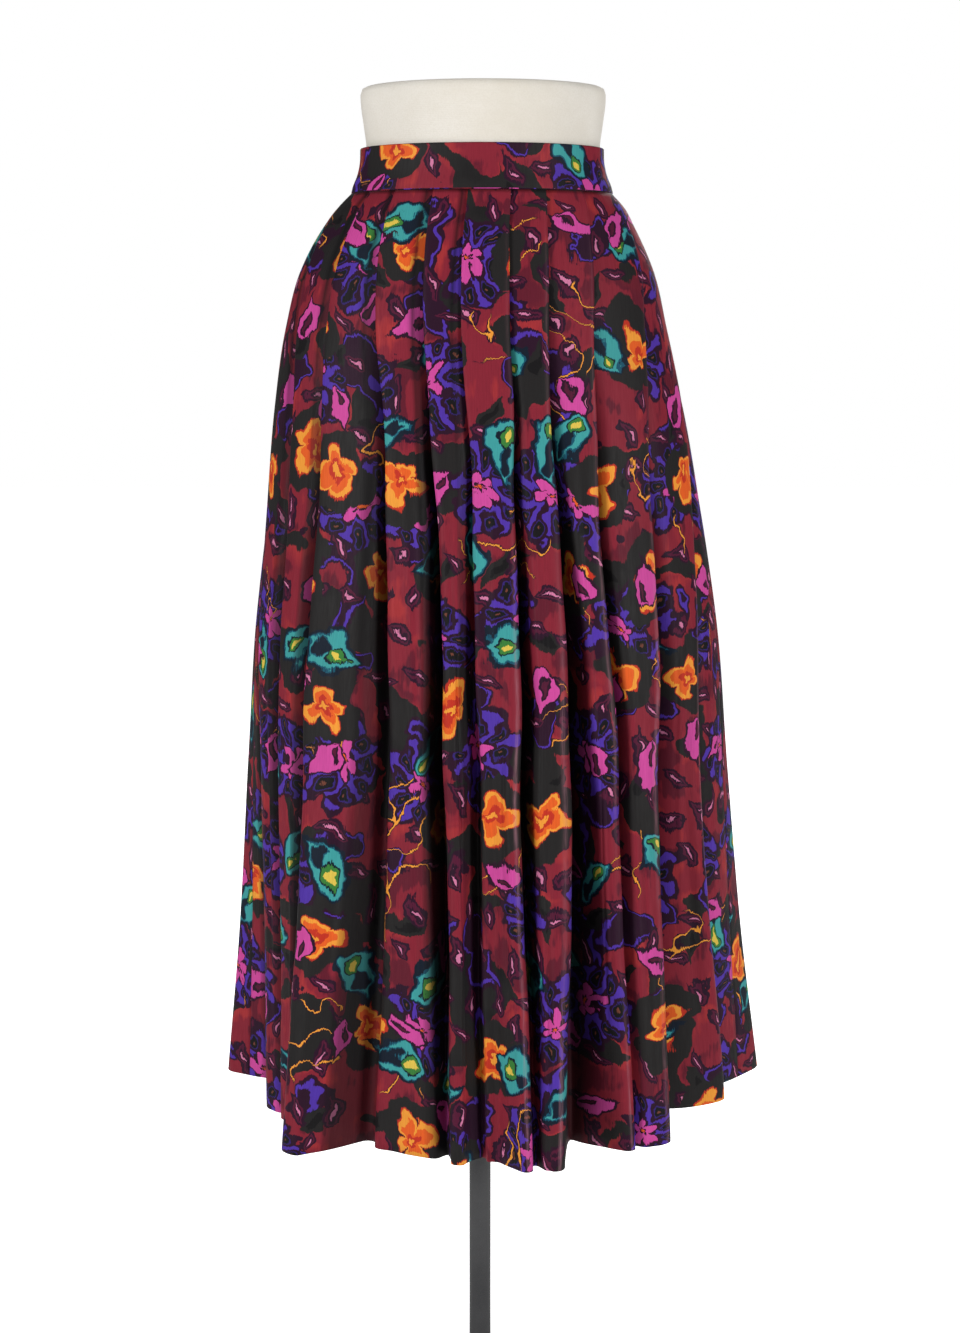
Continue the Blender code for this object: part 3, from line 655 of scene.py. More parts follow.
def make_weave_group():
    """Plain weave: crossing threads as a height, with slubs."""
    group, given, result = new_group(
        "plain_weave", {"Place": (0, 0, 0), "Pitch": 0.00045}, {"Height": "Float", "Slubs": "Float"})
    across, along, _ = split(group, given["Place"])
    waves = []
    for part in (across, along):
        turns = times(group, sums(group, "DIVIDE", part, given["Pitch"]), math.pi)
        waves.append(sums(group, "SINE", turns))
    crossing = times(group, waves[0], waves[1])
    stretched = on_places(group, "MULTIPLY", given["Place"], (1.0, 0.05, 0))
    slubs, _ = noise(group, stretched, 900.0, 2.0, 0.6, "2D")
    height = sums(group, "MULTIPLY_ADD", slubs, 1.2, times(group, crossing, 0.5))
    group.links.new(height, result["Height"])
    group.links.new(slubs, result["Slubs"])
    return group


def make_cloth(name, print_group, weave_group, fade, fade_colour):
    """One side of the cloth; fade is how much of the print the bare yarn hides."""
    material, tree, shader = new_material(
        name, Roughness=0.62, Specular_IOR_Level=0.16, Sheen_Weight=0.02, Sheen_Roughness=0.4)
    place = cloth_place(tree)
    printed = use_group(tree, print_group, {"Place": place})[0]
    weave = use_group(tree, weave_group, {"Place": place})
    yarn = blend(tree, ease(tree, weave["Slubs"], 0.35, 0.7, 0.0, 0.10), printed, srgb(20, 12, 18))
    faded = blend(tree, fade, yarn, fade_colour)
    # painted shade: the colour darkens to near black in the flutes' hollows, under closed lips and
    # under the band
    painted_shade = add_node(tree, "ShaderNodeAttribute", attribute_name="fold_shade").outputs["Fac"]
    shaded = blend(tree, times(tree, painted_shade, 0.86), faded, srgb(8, 6, 8))
    # painted highlight: the colour lightens along the folds' lips, broken up by the slubs
    painted_highlight = add_node(tree, "ShaderNodeAttribute", attribute_name="painted_lip_highlight").outputs["Fac"]
    highlight_share = times(tree, painted_highlight, ease(tree, weave["Slubs"], 0.35, 0.65, 0.15, 0.50))
    tree.links.new(blend(tree, highlight_share, shaded, srgb(188, 132, 146)), shader.inputs["Base Color"])
    tree.links.new(ease(tree, weave["Slubs"], 0.3, 0.7, 0.56, 0.68), shader.inputs["Roughness"])
    bump(tree, shader, weave["Height"], 0.00005, 0.6)
    return material


scattered_print = make_print_group(make_feather_group(), make_scatter_group())
plain_weave = make_weave_group()
printed_face = make_cloth("printed_face", scattered_print, plain_weave, 0.0, WINE)
printed_back = make_cloth("printed_back", scattered_print, plain_weave, 0.42, srgb(158, 112, 122))


# ============================================================ skirt panels
# Front and back panels of printed cloth, each laid into soft pleats that are sewn into the
# waistband, sewn together at the sides and turned up at the hem.  The folds follow the same
# rule as their solids: closed flat at the waist, opening into deep flutes below.  The cloth runs
# 1.16 m through the front's folds and 1.15 m through the back's, and each has two side seams.
SKIRT_LENGTH = 0.876
BAND_HEIGHT = 0.042
CLOTH_WALL = 0.0012
LAYER_STEP = 0.0016
SEAM_Z = WAIST_Z - BAND_HEIGHT
SECTIONS = np.array([
    # drop, half width, half depth, corner, shift, open, underlap, mouth
    (0.000, 0.1262, 0.1000, 2.00, 0.0020, 0.00, 0.024, 0.0010),
    (0.012, 0.1380, 0.1040, 2.00, 0.0010, 0.02, 0.024, 0.0012),
    (0.030, 0.1497, 0.1105, 2.00, -0.0010, 0.06, 0.024, 0.0016),
    (0.070, 0.1697, 0.1240, 2.04, -0.0030, 0.18, 0.023, 0.0030),
    (0.125, 0.1845, 0.1400, 2.08, -0.0038, 0.36, 0.021, 0.0050),
    (0.200, 0.2004, 0.1570, 2.14, -0.0005, 0.58, 0.018, 0.0080),
    (0.300, 0.2152, 0.1760, 2.22, 0.0024, 0.78, 0.014, 0.0120),
    (0.420, 0.2320, 0.1950, 2.30, 0.0045, 0.92, 0.010, 0.0160),
    (0.560, 0.2430, 0.2130, 2.36, 0.0065, 1.00, 0.008, 0.0200),
    (0.720, 0.2570, 0.2320, 2.42, 0.0100, 1.00, 0.006, 0.0240),
    (0.876, 0.2758, 0.2520, 2.48, 0.0138, 1.00, 0.004, 0.0280)])
FOLD_DROPS = (0.0, 0.200, 0.500, SKIRT_LENGTH)
FOLDS = np.array([
    # bearings at waist, hip, knee, hem; depths at hip, knee, hem; hem mouth, sink and step
    (-169.0, -167.0, -165.0, -163.0, 0.021, 0.030, 0.030, 0.030, 0.000, 0.000),
    (-149.0, -146.0, -143.0, -141.0, 0.022, 0.034, 0.034, 0.036, 0.000, 0.000),
    (-131.0, -126.0, -121.0, -118.0, 0.020, 0.028, 0.027, 0.030, 0.000, 0.000),
    (-114.0, -107.0, -99.0, -94.0, 0.019, 0.032, 0.036, 0.040, 0.004, 0.000),
    (-99.0, -88.0, -76.0, -69.0, 0.017, 0.024, 0.034, 0.080, 0.040, 0.000),
    (-81.0, -66.0, -61.0, -58.5, 0.021, 0.026, 0.012, 0.018, 0.042, 0.000),
    (-61.5, -52.0, -46.0, -44.0, 0.023, 0.024, 0.050, 0.046, -0.010, 0.040),
    (-46.0, -32.0, -25.0, -27.0, 0.023, 0.022, 0.026, 0.046, 0.034, -0.026),
    (-25.5, -16.0, -10.5, -9.0, 0.027, 0.043, 0.018, 0.018, 0.008, 0.008),
    (-7.2, -4.0, -1.5, -1.5, 0.014, 0.018, 0.010, 0.016, 0.016, 0.000),
    (14.9, 11.0, 8.4, 7.5, 0.027, 0.043, 0.014, 0.012, -0.008, 0.000),
    (33.4, 23.6, 21.0, 14.0, 0.025, 0.045, 0.050, 0.050, -0.008, 0.035),
    (54.1, 38.0, 33.5, 31.0, 0.025, 0.020, 0.009, 0.014, 0.026, 0.000),
    (79.0, 57.5, 46.5, 40.8, 0.027, 0.050, 0.056, 0.080, 0.026, 0.050),
    (99.0, 80.0, 64.0, 74.0, 0.019, 0.024, 0.030, 0.034, 0.042, 0.000),
    (114.0, 103.0, 94.0, 96.0, 0.020, 0.030, 0.032, 0.036, 0.004, 0.000),
    (131.0, 124.0, 119.0, 119.0, 0.021, 0.033, 0.030, 0.034, 0.000, 0.000),
    (149.0, 145.0, 142.0, 141.0, 0.020, 0.029, 0.034, 0.036, 0.000, 0.000),
    (169.0, 167.0, 165.0, 163.0, 0.022, 0.032, 0.028, 0.030, 0.000, 0.000)])
FIRST_FRONT_FOLD, LAST_FRONT_FOLD, CENTRE_FOLD = 4, 14, 10
FOLD_COUNT = len(FOLDS)
CHAIN_END = 5                # a fold's chain has points 0 to 5, from its lip to its mouth's far side
POINTS_A_FOLD = CHAIN_END + 3          # the chain and two points on the panel after it
STEPS_A_POINT = 4
ROWS, ROW_SPREAD = 132, 0.45           # the rows lie closer together near the waist
CRISPNESS = 0.30             # how far an open fold's control points are pushed out
LIP_LENGTH, LIP_EASE = 0.0050, 0.0002  # a closed fold's flat lip, and how far its root lies in
UNDER_SHARE, CENTRE_UNDER_SHARE = 0.72, 0.40   # how much of a panel its neighbour may cover
FLUTE_LEAN = 0.35            # how far an open flute leans under, as a share of the underlap
MOUTH_RISE, LEAST_RISE = 0.30, 0.0040  # how far off its lip a flute's wall starts to turn in
FLOOR_SHARE, LEAST_FLOOR = 0.14, 0.0022        # half the width of a flute's floor
FAR_HIGH, FAR_FALL = 0.34, 0.24        # a flute's far side: how deep it stays below the panel
FAR_FROM, FAR_LENGTH = 0.16, 0.16      # and the drops over which it comes up
PANEL_BULGE = 0.02           # how far the panel between two folds swells out, by its width
SWAY_LENGTHS, SWAY_REACHES, SWAY_STEP = (0.31, 0.137), (0.0020, 0.0009), 2.4   # two slow waves


def skirt_control(drops):
    """The wall's control points, rows by points round the skirt, as (along, out).

    Each fold is a chain that blends from a closed knife fold to an open flute, then two points
    on the panel beyond it.  along is the arc from the front on the section's outline and out
    the distance outside it.  Also returns the outlines' values and their length round.
    """
    half_width, half_depth, corner, shift, opened, underlap, mouth = (
        column[:, None] for column in curve_through(SECTIONS[:, 0], SECTIONS[:, 1:], drops).T)
    bearings = np.radians(curve_through(FOLD_DROPS, FOLDS[:, :4].T, drops))
    stack = np.concatenate([np.full((1, FOLD_COUNT), 2 * LAYER_STEP), FOLDS[:, 4:7].T])
    depth = curve_through(FOLD_DROPS, stack, drops)
    low = (drops[:, None] / SKIRT_LENGTH) ** 2
    mouth = mouth * (1 - low) + FOLDS[:, 7] * low
    sink, step = FOLDS[:, 8] * low, FOLDS[:, 9] * low
    risen = np.clip((drops[:, None] - FAR_FROM) / FAR_LENGTH, 0, 1) * (1 - low**2)
    far = FAR_HIGH - FAR_FALL * risen

    dense = np.radians(np.linspace(-200.0, 200.0, 1601))
    x, y = outline_points(dense, half_width, half_depth, corner)
    arcs = summed(np.hypot(np.diff(x), np.diff(y)))
    arcs -= arcs[:, [dense.size // 2]]
    lips = np.array([np.interp(row, dense, arc) for row, arc in zip(bearings, arcs)])
    half_round = np.array([np.interp(np.pi, dense, arc) for arc in arcs])[:, None]

    to_left = np.arange(FOLD_COUNT) < CENTRE_FOLD
    spacing = np.where(to_left, np.roll(lips, -1, axis=1) - lips, lips - np.roll(lips, 1, axis=1))
    at_centre = np.isin(np.arange(FOLD_COUNT), (CENTRE_FOLD - 1, CENTRE_FOLD))
    covered = np.where(at_centre, CENTRE_UNDER_SHARE, UNDER_SHARE)
    under = np.minimum(underlap, covered * spacing)
    lean = FLUTE_LEAN * under
    tilt = 2 * LAYER_STEP * under / (spacing - LIP_LENGTH)
    closed = together(
        together(-LIP_LENGTH, 0.0, 0.0, -under, mouth),
        together(-LIP_EASE, 0.0, -LAYER_STEP, -1.5 * LAYER_STEP - tilt, -2 * LAYER_STEP))
    approach = np.minimum(MOUTH_RISE * mouth + LEAST_RISE, MOUTH_RISE * spacing)
    flute = together(
        together(-approach, 0.0, 0.10 * mouth - lean / 2, 0.48 * mouth - lean, 0.95 * mouth),
        together(-0.015 * depth, -0.10 * depth, -0.55 * depth, -depth, -far * depth))
    share = opened[..., None, None]
    chain = closed * (1 - share) + flute * share
    bottom = chain[:, :, 3]
    run = bottom - chain[:, :, 1]
    run /= np.linalg.norm(run, axis=-1, keepdims=True)
    half = LAYER_STEP / 2 * (1 - opened) + np.maximum(FLOOR_SHARE * mouth, LEAST_FLOOR) * opened
    across = half[..., None] * together(-run[..., 1], run[..., 0])
    chain = np.stack([chain[:, :, 0], chain[:, :, 1], chain[:, :, 2],
                      bottom - across, bottom + across, chain[:, :, 4]], axis=2)
    chain[..., 1] -= step[..., None] * np.array([0, 0, 0, 0.5, 0.5, 1.0])
    chain[:, to_left, :, 0] *= -1
    chain[:, to_left] = chain[:, to_left, ::-1]
    turns = np.outer(drops, FULL_TURN / np.array(SWAY_LENGTHS))[:, None]
    turns = turns + SWAY_STEP * np.arange(FOLD_COUNT)[:, None]
    sway = opened * (1 - low) * (np.sin(turns) @ np.array(SWAY_REACHES))
    chain += together(lips + sway, -sink)[:, :, None]
    after = np.roll(chain[:, :, :1], -1, axis=1)
    after[:, -1, 0, 0] += 2 * half_round[:, 0]
    start = chain[:, :, [CHAIN_END]]
    width = after[..., 0] - start[..., 0]
    panel = [start + part * (after - start) for part in (1 / 3, 2 / 3)]
    for points in panel:
        points[..., 1] += PANEL_BULGE * width * opened[..., None]
    control = np.concatenate([chain, *panel], axis=2).reshape(len(drops), -1, 2)
    outline = {"x": x, "y": y, "arcs": arcs, "shift": shift, "half_round": half_round,
               "opened": opened, "depth": depth}
    return control, outline


def panel_line(control, outline, first_fold, last_fold):
    """Read the wall's line of one panel: a quadratic B-spline over its control points.

    It starts and ends on the side seams, halfway between the two panel points there.  Also
    returns each column's place in its fold, from 0 to 8, and its fold's number.
    """
    turn = np.array([2.0, 0.0]) * outline["half_round"][:, None]
    three = np.concatenate([control - turn, control, control + turn], axis=1)
    middle = (three[:, :-2] + three[:, 2:]) / 2
    crisp = three.copy()
    crisp[:, 1:-1] += CRISPNESS * outline["opened"][..., None] * (three[:, 1:-1] - middle)
    first = (FOLD_COUNT + first_fold) * POINTS_A_FOLD - 1
    count = (last_fold - first_fold + 1) * POINTS_A_FOLD
    steps = np.arange(count * STEPS_A_POINT + 1)
    segment = np.minimum(steps // STEPS_A_POINT, count - 1)
    u = (steps / STEPS_A_POINT - segment)[:, None]
    index = first + segment
    line = ((1 - u) ** 2 / 2 * crisp[:, index - 1] + (0.5 + u - u * u) * crisp[:, index]
            + u * u / 2 * crisp[:, index + 1])
    place = steps / STEPS_A_POINT + POINTS_A_FOLD - 1
    fold_place = (place - 0.5) % POINTS_A_FOLD
    return line, fold_place, first_fold - 1 + place // POINTS_A_FOLD


def wall_points(line, outline, drops):
    """Set (along, out) on the outlines: the outline's point plus out times its normal."""
    half = outline["half_round"]
    along = (line[..., 0] + half) % (2 * half) - half
    run_x = np.gradient(outline["x"], axis=1)
    run_y = np.gradient(outline["y"], axis=1)
    size = np.hypot(run_x, run_y)
    tables = (outline["x"], outline["y"], run_y / size, -run_x / size)
    x, y, normal_x, normal_y = (np.array([
        np.interp(place, arc, row) for place, arc, row in zip(along, outline["arcs"], table)])
        for table in tables)
    out = line[..., 1] - CLOTH_WALL / 2
    return together(x + outline["shift"] + out * normal_x, y + out * normal_y,
                    SEAM_Z - SEAM_GAP - drops[:, None])


def surface_normals(points):
    """Outward normals of a grid, from the cross product of its two directions."""
    down = np.gradient(points, axis=0)
    along = np.gradient(points, axis=1)
    normal = np.cross(down, along)
    return normal / np.linalg.norm(normal, axis=-1, keepdims=True)


# Soft creases laid on the panels: the fold that each starts from, with the part of the
# way to the next fold, its middle's drop, length, how far it leans in folds a metre, its width
# in folds and its height in metres, + outwards.
FRONT_CREASES = np.array([
    (6.83, 0.47, 0.46, 0.10, 0.050, 0.0020), (6.93, 0.63, 0.36, -0.15, 0.045, -0.0022),
    (6.88, 0.22, 0.18, 0.60, 0.050, -0.0011), (7.86, 0.40, 0.34, 0.12, 0.050, 0.0016),
    (7.90, 0.70, 0.30, -0.10, 0.050, -0.0020), (7.84, 0.20, 0.15, 0.70, 0.060, 0.0010),
    (8.88, 0.50, 0.28, 0.15, 0.060, -0.0012), (8.86, 0.76, 0.22, -0.20, 0.055, 0.0014),
    (9.86, 0.33, 0.30, -0.20, 0.050, 0.0014), (9.92, 0.58, 0.40, 0.12, 0.045, -0.0018),
    (10.88, 0.44, 0.36, -0.12, 0.050, 0.0016), (10.85, 0.72, 0.26, 0.18, 0.050, -0.0016),
    (11.88, 0.30, 0.26, -0.30, 0.050, -0.0012), (11.90, 0.62, 0.38, 0.10, 0.045, 0.0022),
    (12.86, 0.36, 0.30, -0.22, 0.050, 0.0014), (12.90, 0.68, 0.32, 0.14, 0.050, -0.0016),
    (13.84, 0.50, 0.42, -0.10, 0.045, 0.0022), (13.93, 0.70, 0.30, 0.12, 0.045, -0.0024),
    (13.88, 0.24, 0.20, -0.55, 0.050, -0.0012), (5.87, 0.42, 0.30, 0.20, 0.060, 0.0014),
    (4.88, 0.60, 0.40, -0.10, 0.055, -0.0018), (14.45, 0.55, 0.44, 0.08, 0.050, 0.0018)])
BACK_CREASES = np.array([
    (15.88, 0.50, 0.40, 0.10, 0.060, 0.0018), (16.86, 0.36, 0.30, -0.18, 0.060, -0.0014),
    (16.92, 0.68, 0.32, 0.10, 0.055, 0.0018), (17.88, 0.55, 0.44, 0.14, 0.060, -0.0018),
    (18.86, 0.34, 0.28, -0.16, 0.060, 0.0014), (18.92, 0.70, 0.30, 0.12, 0.055, -0.0018),
    (19.88, 0.48, 0.40, -0.12, 0.060, 0.0018), (20.86, 0.62, 0.36, 0.16, 0.060, -0.0016),
    (21.88, 0.40, 0.34, -0.14, 0.060, 0.0016), (22.30, 0.64, 0.40, 0.10, 0.060, -0.0018)])


def crease_relief(creases, fold_line, opened):
    """How far the cloth stands out: the sum of all creases at each point.

    Each is its height times exp(-(way off its line / width)^2) times a swell along its length,
    (1 - t^2)^2 with t from -1 to 1, and none shows where the folds are still closed.
    """
    middle, place, length, lean, width, height = creases.T[:, :, None, None]
    t = np.clip(2 * (drops[:, None] - place) / length, -1, 1)
    off = (fold_line - middle - lean * (drops[:, None] - place)) / width
    waves = height * np.exp(-off * off) * (1 - t * t) ** 2
    return waves.sum(axis=0) * opened


row_share = np.linspace(0, 1, ROWS)
drops = SKIRT_LENGTH * ((1 - ROW_SPREAD) * row_share + ROW_SPREAD * row_share**2)
control, outline = skirt_control(drops)
growth = np.gradient((SECTIONS[:, 1] + SECTIONS[:, 2]) / 2, SECTIONS[:, 0])
slant = np.sqrt(1 + np.interp(drops, SECTIONS[:, 0], growth) ** 2)
cloth_drop = summed((slant[1:] + slant[:-1]) / 2 * np.diff(drops))
MOST_GATHERED, MOST_LET_OUT = 0.45, 2.2        # what the cloth under a fold takes, by its length
CONTACT_WIDTH = 0.036        # of the painted shadow line under a closed lip, in folds
# how far the painted shade right under the band reaches down
BAND_SHADE_DROP = 0.004
LIP_WIDTH, LIP_NARROWING = 0.028, 0.016        # of the painted highlight line on each lip, in folds


def cloth_across(points, fold_place, fold_number):
    """Each point's u on the flat cloth, in metres.

    It is the length along the line, which is true on what shows; the cloth turned under a fold
    is gathered or let out there, so that each pleat takes about the same cloth at every height.
    """
    steps = np.linalg.norm(np.diff(points[..., :2], axis=1), axis=-1)
    middle = (fold_place[1:] + fold_place[:-1]) / 2
    inner = np.where(fold_number[1:] < CENTRE_FOLD, CHAIN_END - middle, middle)
    hidden = np.clip((inner - 0.8) / 0.8, 0, 1) * np.clip((5.2 - inner) / 0.8, 0, 1)
    hidden = np.where(middle > CHAIN_END + 1, 0, hidden)
    scale = np.ones_like(steps)
    for number in np.unique(fold_number[1:]):
        own = fold_number[1:] == number
        covered = (steps[:, own] * hidden[own]).sum(axis=1)
        whole = steps[:, own].sum(axis=1)
        cut = whole[drops > 0.55 * SKIRT_LENGTH].mean()
        extra = np.clip((cut - whole) / np.maximum(covered, 1e-6), -MOST_GATHERED, MOST_LET_OUT)
        scale[:, own] = 1 + extra[:, None] * hidden[own]
    return summed(steps * scale)


def nearest_line(fold_line, left_place, right_place):
    """How far each column is from the nearest fold's line, in folds, and that fold.

    The line stands at left_place in the chain of a fold left of the centre fold, and at
    right_place in the others.
    """
    number = np.arange(FOLD_COUNT + FIRST_FRONT_FOLD + 1)
    left = number % FOLD_COUNT < CENTRE_FOLD
    lines = number + np.where(left, left_place, right_place) / POINTS_A_FOLD
    off = np.abs(fold_line[:, None] - lines)
    return off.min(axis=1), number[off.argmin(axis=1)]


def fold_shade(fold_line):
    """How much painted shade a place gets, 0 to 1, where light can hardly reach it.

    It is 1 in the middle part of a deep flute.  Near the waist a thin line of painted shadow runs
    where a closed fold's lip lies on the next panel, and another right under the band.
    """
    fold = np.floor(fold_line).astype(int) % FOLD_COUNT
    place = (fold_line % 1) * POINTS_A_FOLD
    inner = np.where(fold < CENTRE_FOLD, CHAIN_END - place, place)
    core = np.clip((inner - 1.2) / 0.8, 0, 1) * np.clip(5.5 - inner, 0, 1)
    deep = np.clip((outline["depth"][:, fold] - 0.008) / 0.022, 0, 1)
    near, _ = nearest_line(fold_line, 0, CHAIN_END)
    line = np.exp(-(near / CONTACT_WIDTH) ** 2) * np.clip(1.3 - 1.6 * outline["opened"], 0, 1)
    under_band = np.clip(1 - drops[:, None] / BAND_SHADE_DROP, 0, 1)
    return np.clip(core * deep + 0.9 * line + 0.8 * under_band, 0, 1)


def painted_lip_highlight(fold_line):
    """How much painted highlight a folded edge gets, 0 to 1, where its lip catches the light.

    It is a narrow line on each lip, exp(-(way off it / its width)^2), stronger on some folds and
    at some heights than at others, and none where the fold is still flat.
    """
    near, number = nearest_line(fold_line, CHAIN_END - 1, 1)
    width = LIP_WIDTH - LIP_NARROWING * drops[:, None] / SKIRT_LENGTH
    own = number * SWAY_STEP
    uneven = np.sin(drops[:, None] * 11.0 + own) * np.sin(drops[:, None] * 4.3 + 1.7 * own)
    return np.exp(-(near / width) ** 2) * (0.5 + 0.5 * uneven) * outline["opened"]


HEM_STEP = 0.0013            # between the middles of the hem's two layers
HEM_ROWS = [-1, -2, -3]      # the rows that the turned-up hem follows, 19 mm in all
CLOTH_THICKNESS = 0.0009
FRONT_PRINT_START, BACK_PRINT_START = 0.31, 2.12       # u in the middle of each panel


def turned_up(grid):
    """A grid's values carried on round the hem: its lowest row, then the hem's rows upwards."""
    return np.concatenate([grid, grid[-1:], grid[HEM_ROWS]])


def add_tone(mesh, name, values):
    """Keep a value for each point of a mesh, for its material to read."""
    layer = mesh.attributes.new(name, "FLOAT", "POINT")
    layer.data.foreach_set("value", values.astype(np.float32).ravel())


def make_panel(name, first_fold, last_fold, print_start, creases):
    """Build one panel's surface with its creases, its turned-up hem and its cloth places."""
    line, fold_place, fold_number = panel_line(control, outline, first_fold, last_fold)
    points = wall_points(line, outline, drops)
    across = cloth_across(points, fold_place, fold_number)
    columns = np.arange(points.shape[1])
    fold_line = first_fold - (1 - columns / STEPS_A_POINT) / POINTS_A_FOLD
    relief = crease_relief(creases, fold_line, outline["opened"])
    points = points + relief[..., None] * surface_normals(points)
    inward = np.concatenate([np.zeros(ROWS), [0.5], np.ones(len(HEM_ROWS))]) * HEM_STEP
    points = turned_up(points) - inward[:, None, None] * turned_up(surface_normals(points))
    points[ROWS, :, 2] -= HEM_STEP / 4
    across = turned_up(across + print_start - (across[:, :1] + across[:, -1:]) / 2)
    down = np.concatenate([
        cloth_drop, 2 * cloth_drop[-1] - cloth_drop[[-1, *HEM_ROWS]] + inward[ROWS:]])
    mesh = surface_mesh(name, points, together(across, -down[:, None]))
    # painted shade and painted highlight, kept at each point for the cloth's colour to read
    add_tone(mesh, "fold_shade", turned_up(fold_shade(fold_line)))
    add_tone(mesh, "painted_lip_highlight", turned_up(painted_lip_highlight(fold_line)))
    piece = add_piece(name, mesh, printed_face, printed_back)
    wall = piece.modifiers.new("cloth_thickness", "SOLIDIFY")
    wall.thickness = CLOTH_THICKNESS
    wall.offset = 0.0
    wall.material_offset = 1
    wall.material_offset_rim = 0
    return piece


front = make_panel(
    "front_panel_cloth", FIRST_FRONT_FOLD, LAST_FRONT_FOLD, FRONT_PRINT_START, FRONT_CREASES)
back = make_panel(
    "back_panel_cloth", LAST_FRONT_FOLD + 1, FOLD_COUNT + FIRST_FRONT_FOLD - 1,
    BACK_PRINT_START, BACK_CREASES)
for piece, node, width in ((front, "front_panel", 1.18), (back, "back_panel", 1.17)):
    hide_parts(node)


# ============================================================ waistband
# A straight band of the same cloth over a stiff interlining, folded along its top edge and
# sewn to the gathered pleats.  It laps over itself at the centre back.
BAND_SECTIONS = np.array([
    # drop, half width, half depth of the outside
    (0.0000, 0.1158, 0.0924), (0.0140, 0.1165, 0.0936), (0.0260, 0.1194, 0.0954),
    (0.0350, 0.1232, 0.0975), (0.0420, 0.1250, 0.0988)])
BAND_WALL = 0.0020
BAND_START, BAND_END = -178.0, 197.0
BAND_LIFT_FROM, BAND_LIFT_DONE, BAND_LIFT = 160.0, 179.0, 0.0026
BAND_SHIFT = 0.0020
BAND_COLUMNS, BAND_ROWS, EDGE_STEPS = 320, 15, 9
BAND_TIP, BAND_TIP_COLUMNS = 0.6, 6    # the degrees over which each folded end rounds off
BAND_PRINT_PLACE = (0.43, 1.37)
TOP_EDGE_SHADE = 0.9


def band_mesh():
    """Carry the band's closed profile round the waist.

    The profile runs up the outside, over the folded top edge, down the inside and round the
    sewn lower edge; at each bearing it stands on the ellipse of its height, moved inwards by
    its depth and outwards where the upper end laps over.  Over the last BAND_TIP at each end
    the profile draws in to the wall's middle as a half circle does, which closes the end.
    """
    edge = BAND_WALL / 2
    turn = np.linspace(0, np.pi, EDGE_STEPS)[1:-1]
    heights = np.linspace(edge, BAND_HEIGHT - edge, BAND_ROWS)
    drop = np.concatenate([
        heights[::-1], edge - edge * np.sin(turn),
        heights, BAND_HEIGHT - edge + edge * np.sin(turn), heights[-1:]])
    depth = np.concatenate([
        np.zeros(BAND_ROWS), edge - edge * np.cos(turn),
        np.full(BAND_ROWS, BAND_WALL), edge + edge * np.cos(turn), [0.0]])
    tip = BAND_TIP * (1 - np.cos(np.linspace(0, np.pi / 2, BAND_TIP_COLUMNS)))
    between = np.linspace(BAND_START + 2 * BAND_TIP, BAND_END - 2 * BAND_TIP, BAND_COLUMNS)
    degrees = np.concatenate([BAND_START + tip, between, BAND_END - tip[::-1]])
    from_end = np.clip(np.minimum(degrees - BAND_START, BAND_END - degrees) / BAND_TIP, 0, 1)
    full = np.sqrt(from_end * (2 - from_end))
    rise = np.clip((degrees - BAND_LIFT_FROM) / (BAND_LIFT_DONE - BAND_LIFT_FROM), 0, 1)
    lift = BAND_LIFT * rise * rise * (3 - 2 * rise)
    half_width, half_depth = curve_through(BAND_SECTIONS[:, 0], BAND_SECTIONS[:, 1:], drop).T
    x, y = outline_points(np.radians(degrees), half_width[:, None], half_depth[:, None])
    run_x, run_y = np.gradient(x, axis=1), np.gradient(y, axis=1)
    size = np.hypot(run_x, run_y)
    out = lift - edge - (depth[:, None] - edge) * full
    middle_drop = np.clip(drop, edge, BAND_HEIGHT - edge)[:, None]
    points = together(
        x + BAND_SHIFT + out * run_y / size, y - out * run_x / size,
        WAIST_Z - middle_drop - (drop[:, None] - middle_drop) * full)[::-1]
    along = np.cumsum(size.mean(axis=0))
    across = summed(np.hypot(np.diff(drop), np.diff(depth)))[::-1]
    places = together(along, across[:, None]) + BAND_PRINT_PLACE
    mesh = surface_mesh("waistband_cloth", points, places)
    # painted shade along the band's folded top edge, read by the cloth through fold_shade
    on_edge = np.clip(1 - drop / (0.9 * edge), 0, 1)[::-1, None] * np.ones(len(degrees))
    add_tone(mesh, "fold_shade", TOP_EDGE_SHADE * on_edge)
    return mesh


band = add_piece("waistband_cloth", band_mesh(), printed_face)
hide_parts("waistband")


# ============================================================ button
# A plain four-hole button of dark polyester resin that closes the band at the centre back, sewn
# on with doubled thread, and the worked edge of its buttonhole in the band's upper end.
def make_resin(grain_group):
    """Dark plum resin with cloudy pearl swirls, a polished face and fine scratches."""
    material, tree, shader = new_material(
        "button_resin", Roughness=0.24, Coat_Weight=0.25, Coat_Roughness=0.1)
    solid = solid_place(tree)
    grain = use_group(tree, grain_group, {"Place": solid, "Scale": 900.0})
    drift, _ = noise(tree, solid, 240.0, 2.0, 0.5)
    shift = add_node(tree, "ShaderNodeCombineXYZ", {0: times(tree, drift, 0.01)}).outputs[0]
    swirl, _ = noise(tree, on_places(tree, "ADD", solid, shift), 420.0, 3.0, 0.6)
    tone = blend(tree, ease(tree, swirl, 0.46, 0.66), srgb(22, 14, 18), srgb(64, 36, 46))
    tree.links.new(tone, shader.inputs["Base Color"])
    tree.links.new(ease(tree, grain["Grain"], 0.3, 0.7, 0.18, 0.34), shader.inputs["Roughness"])
    bump(tree, shader, grain["Grain"], 0.00002, 0.4)
    return material


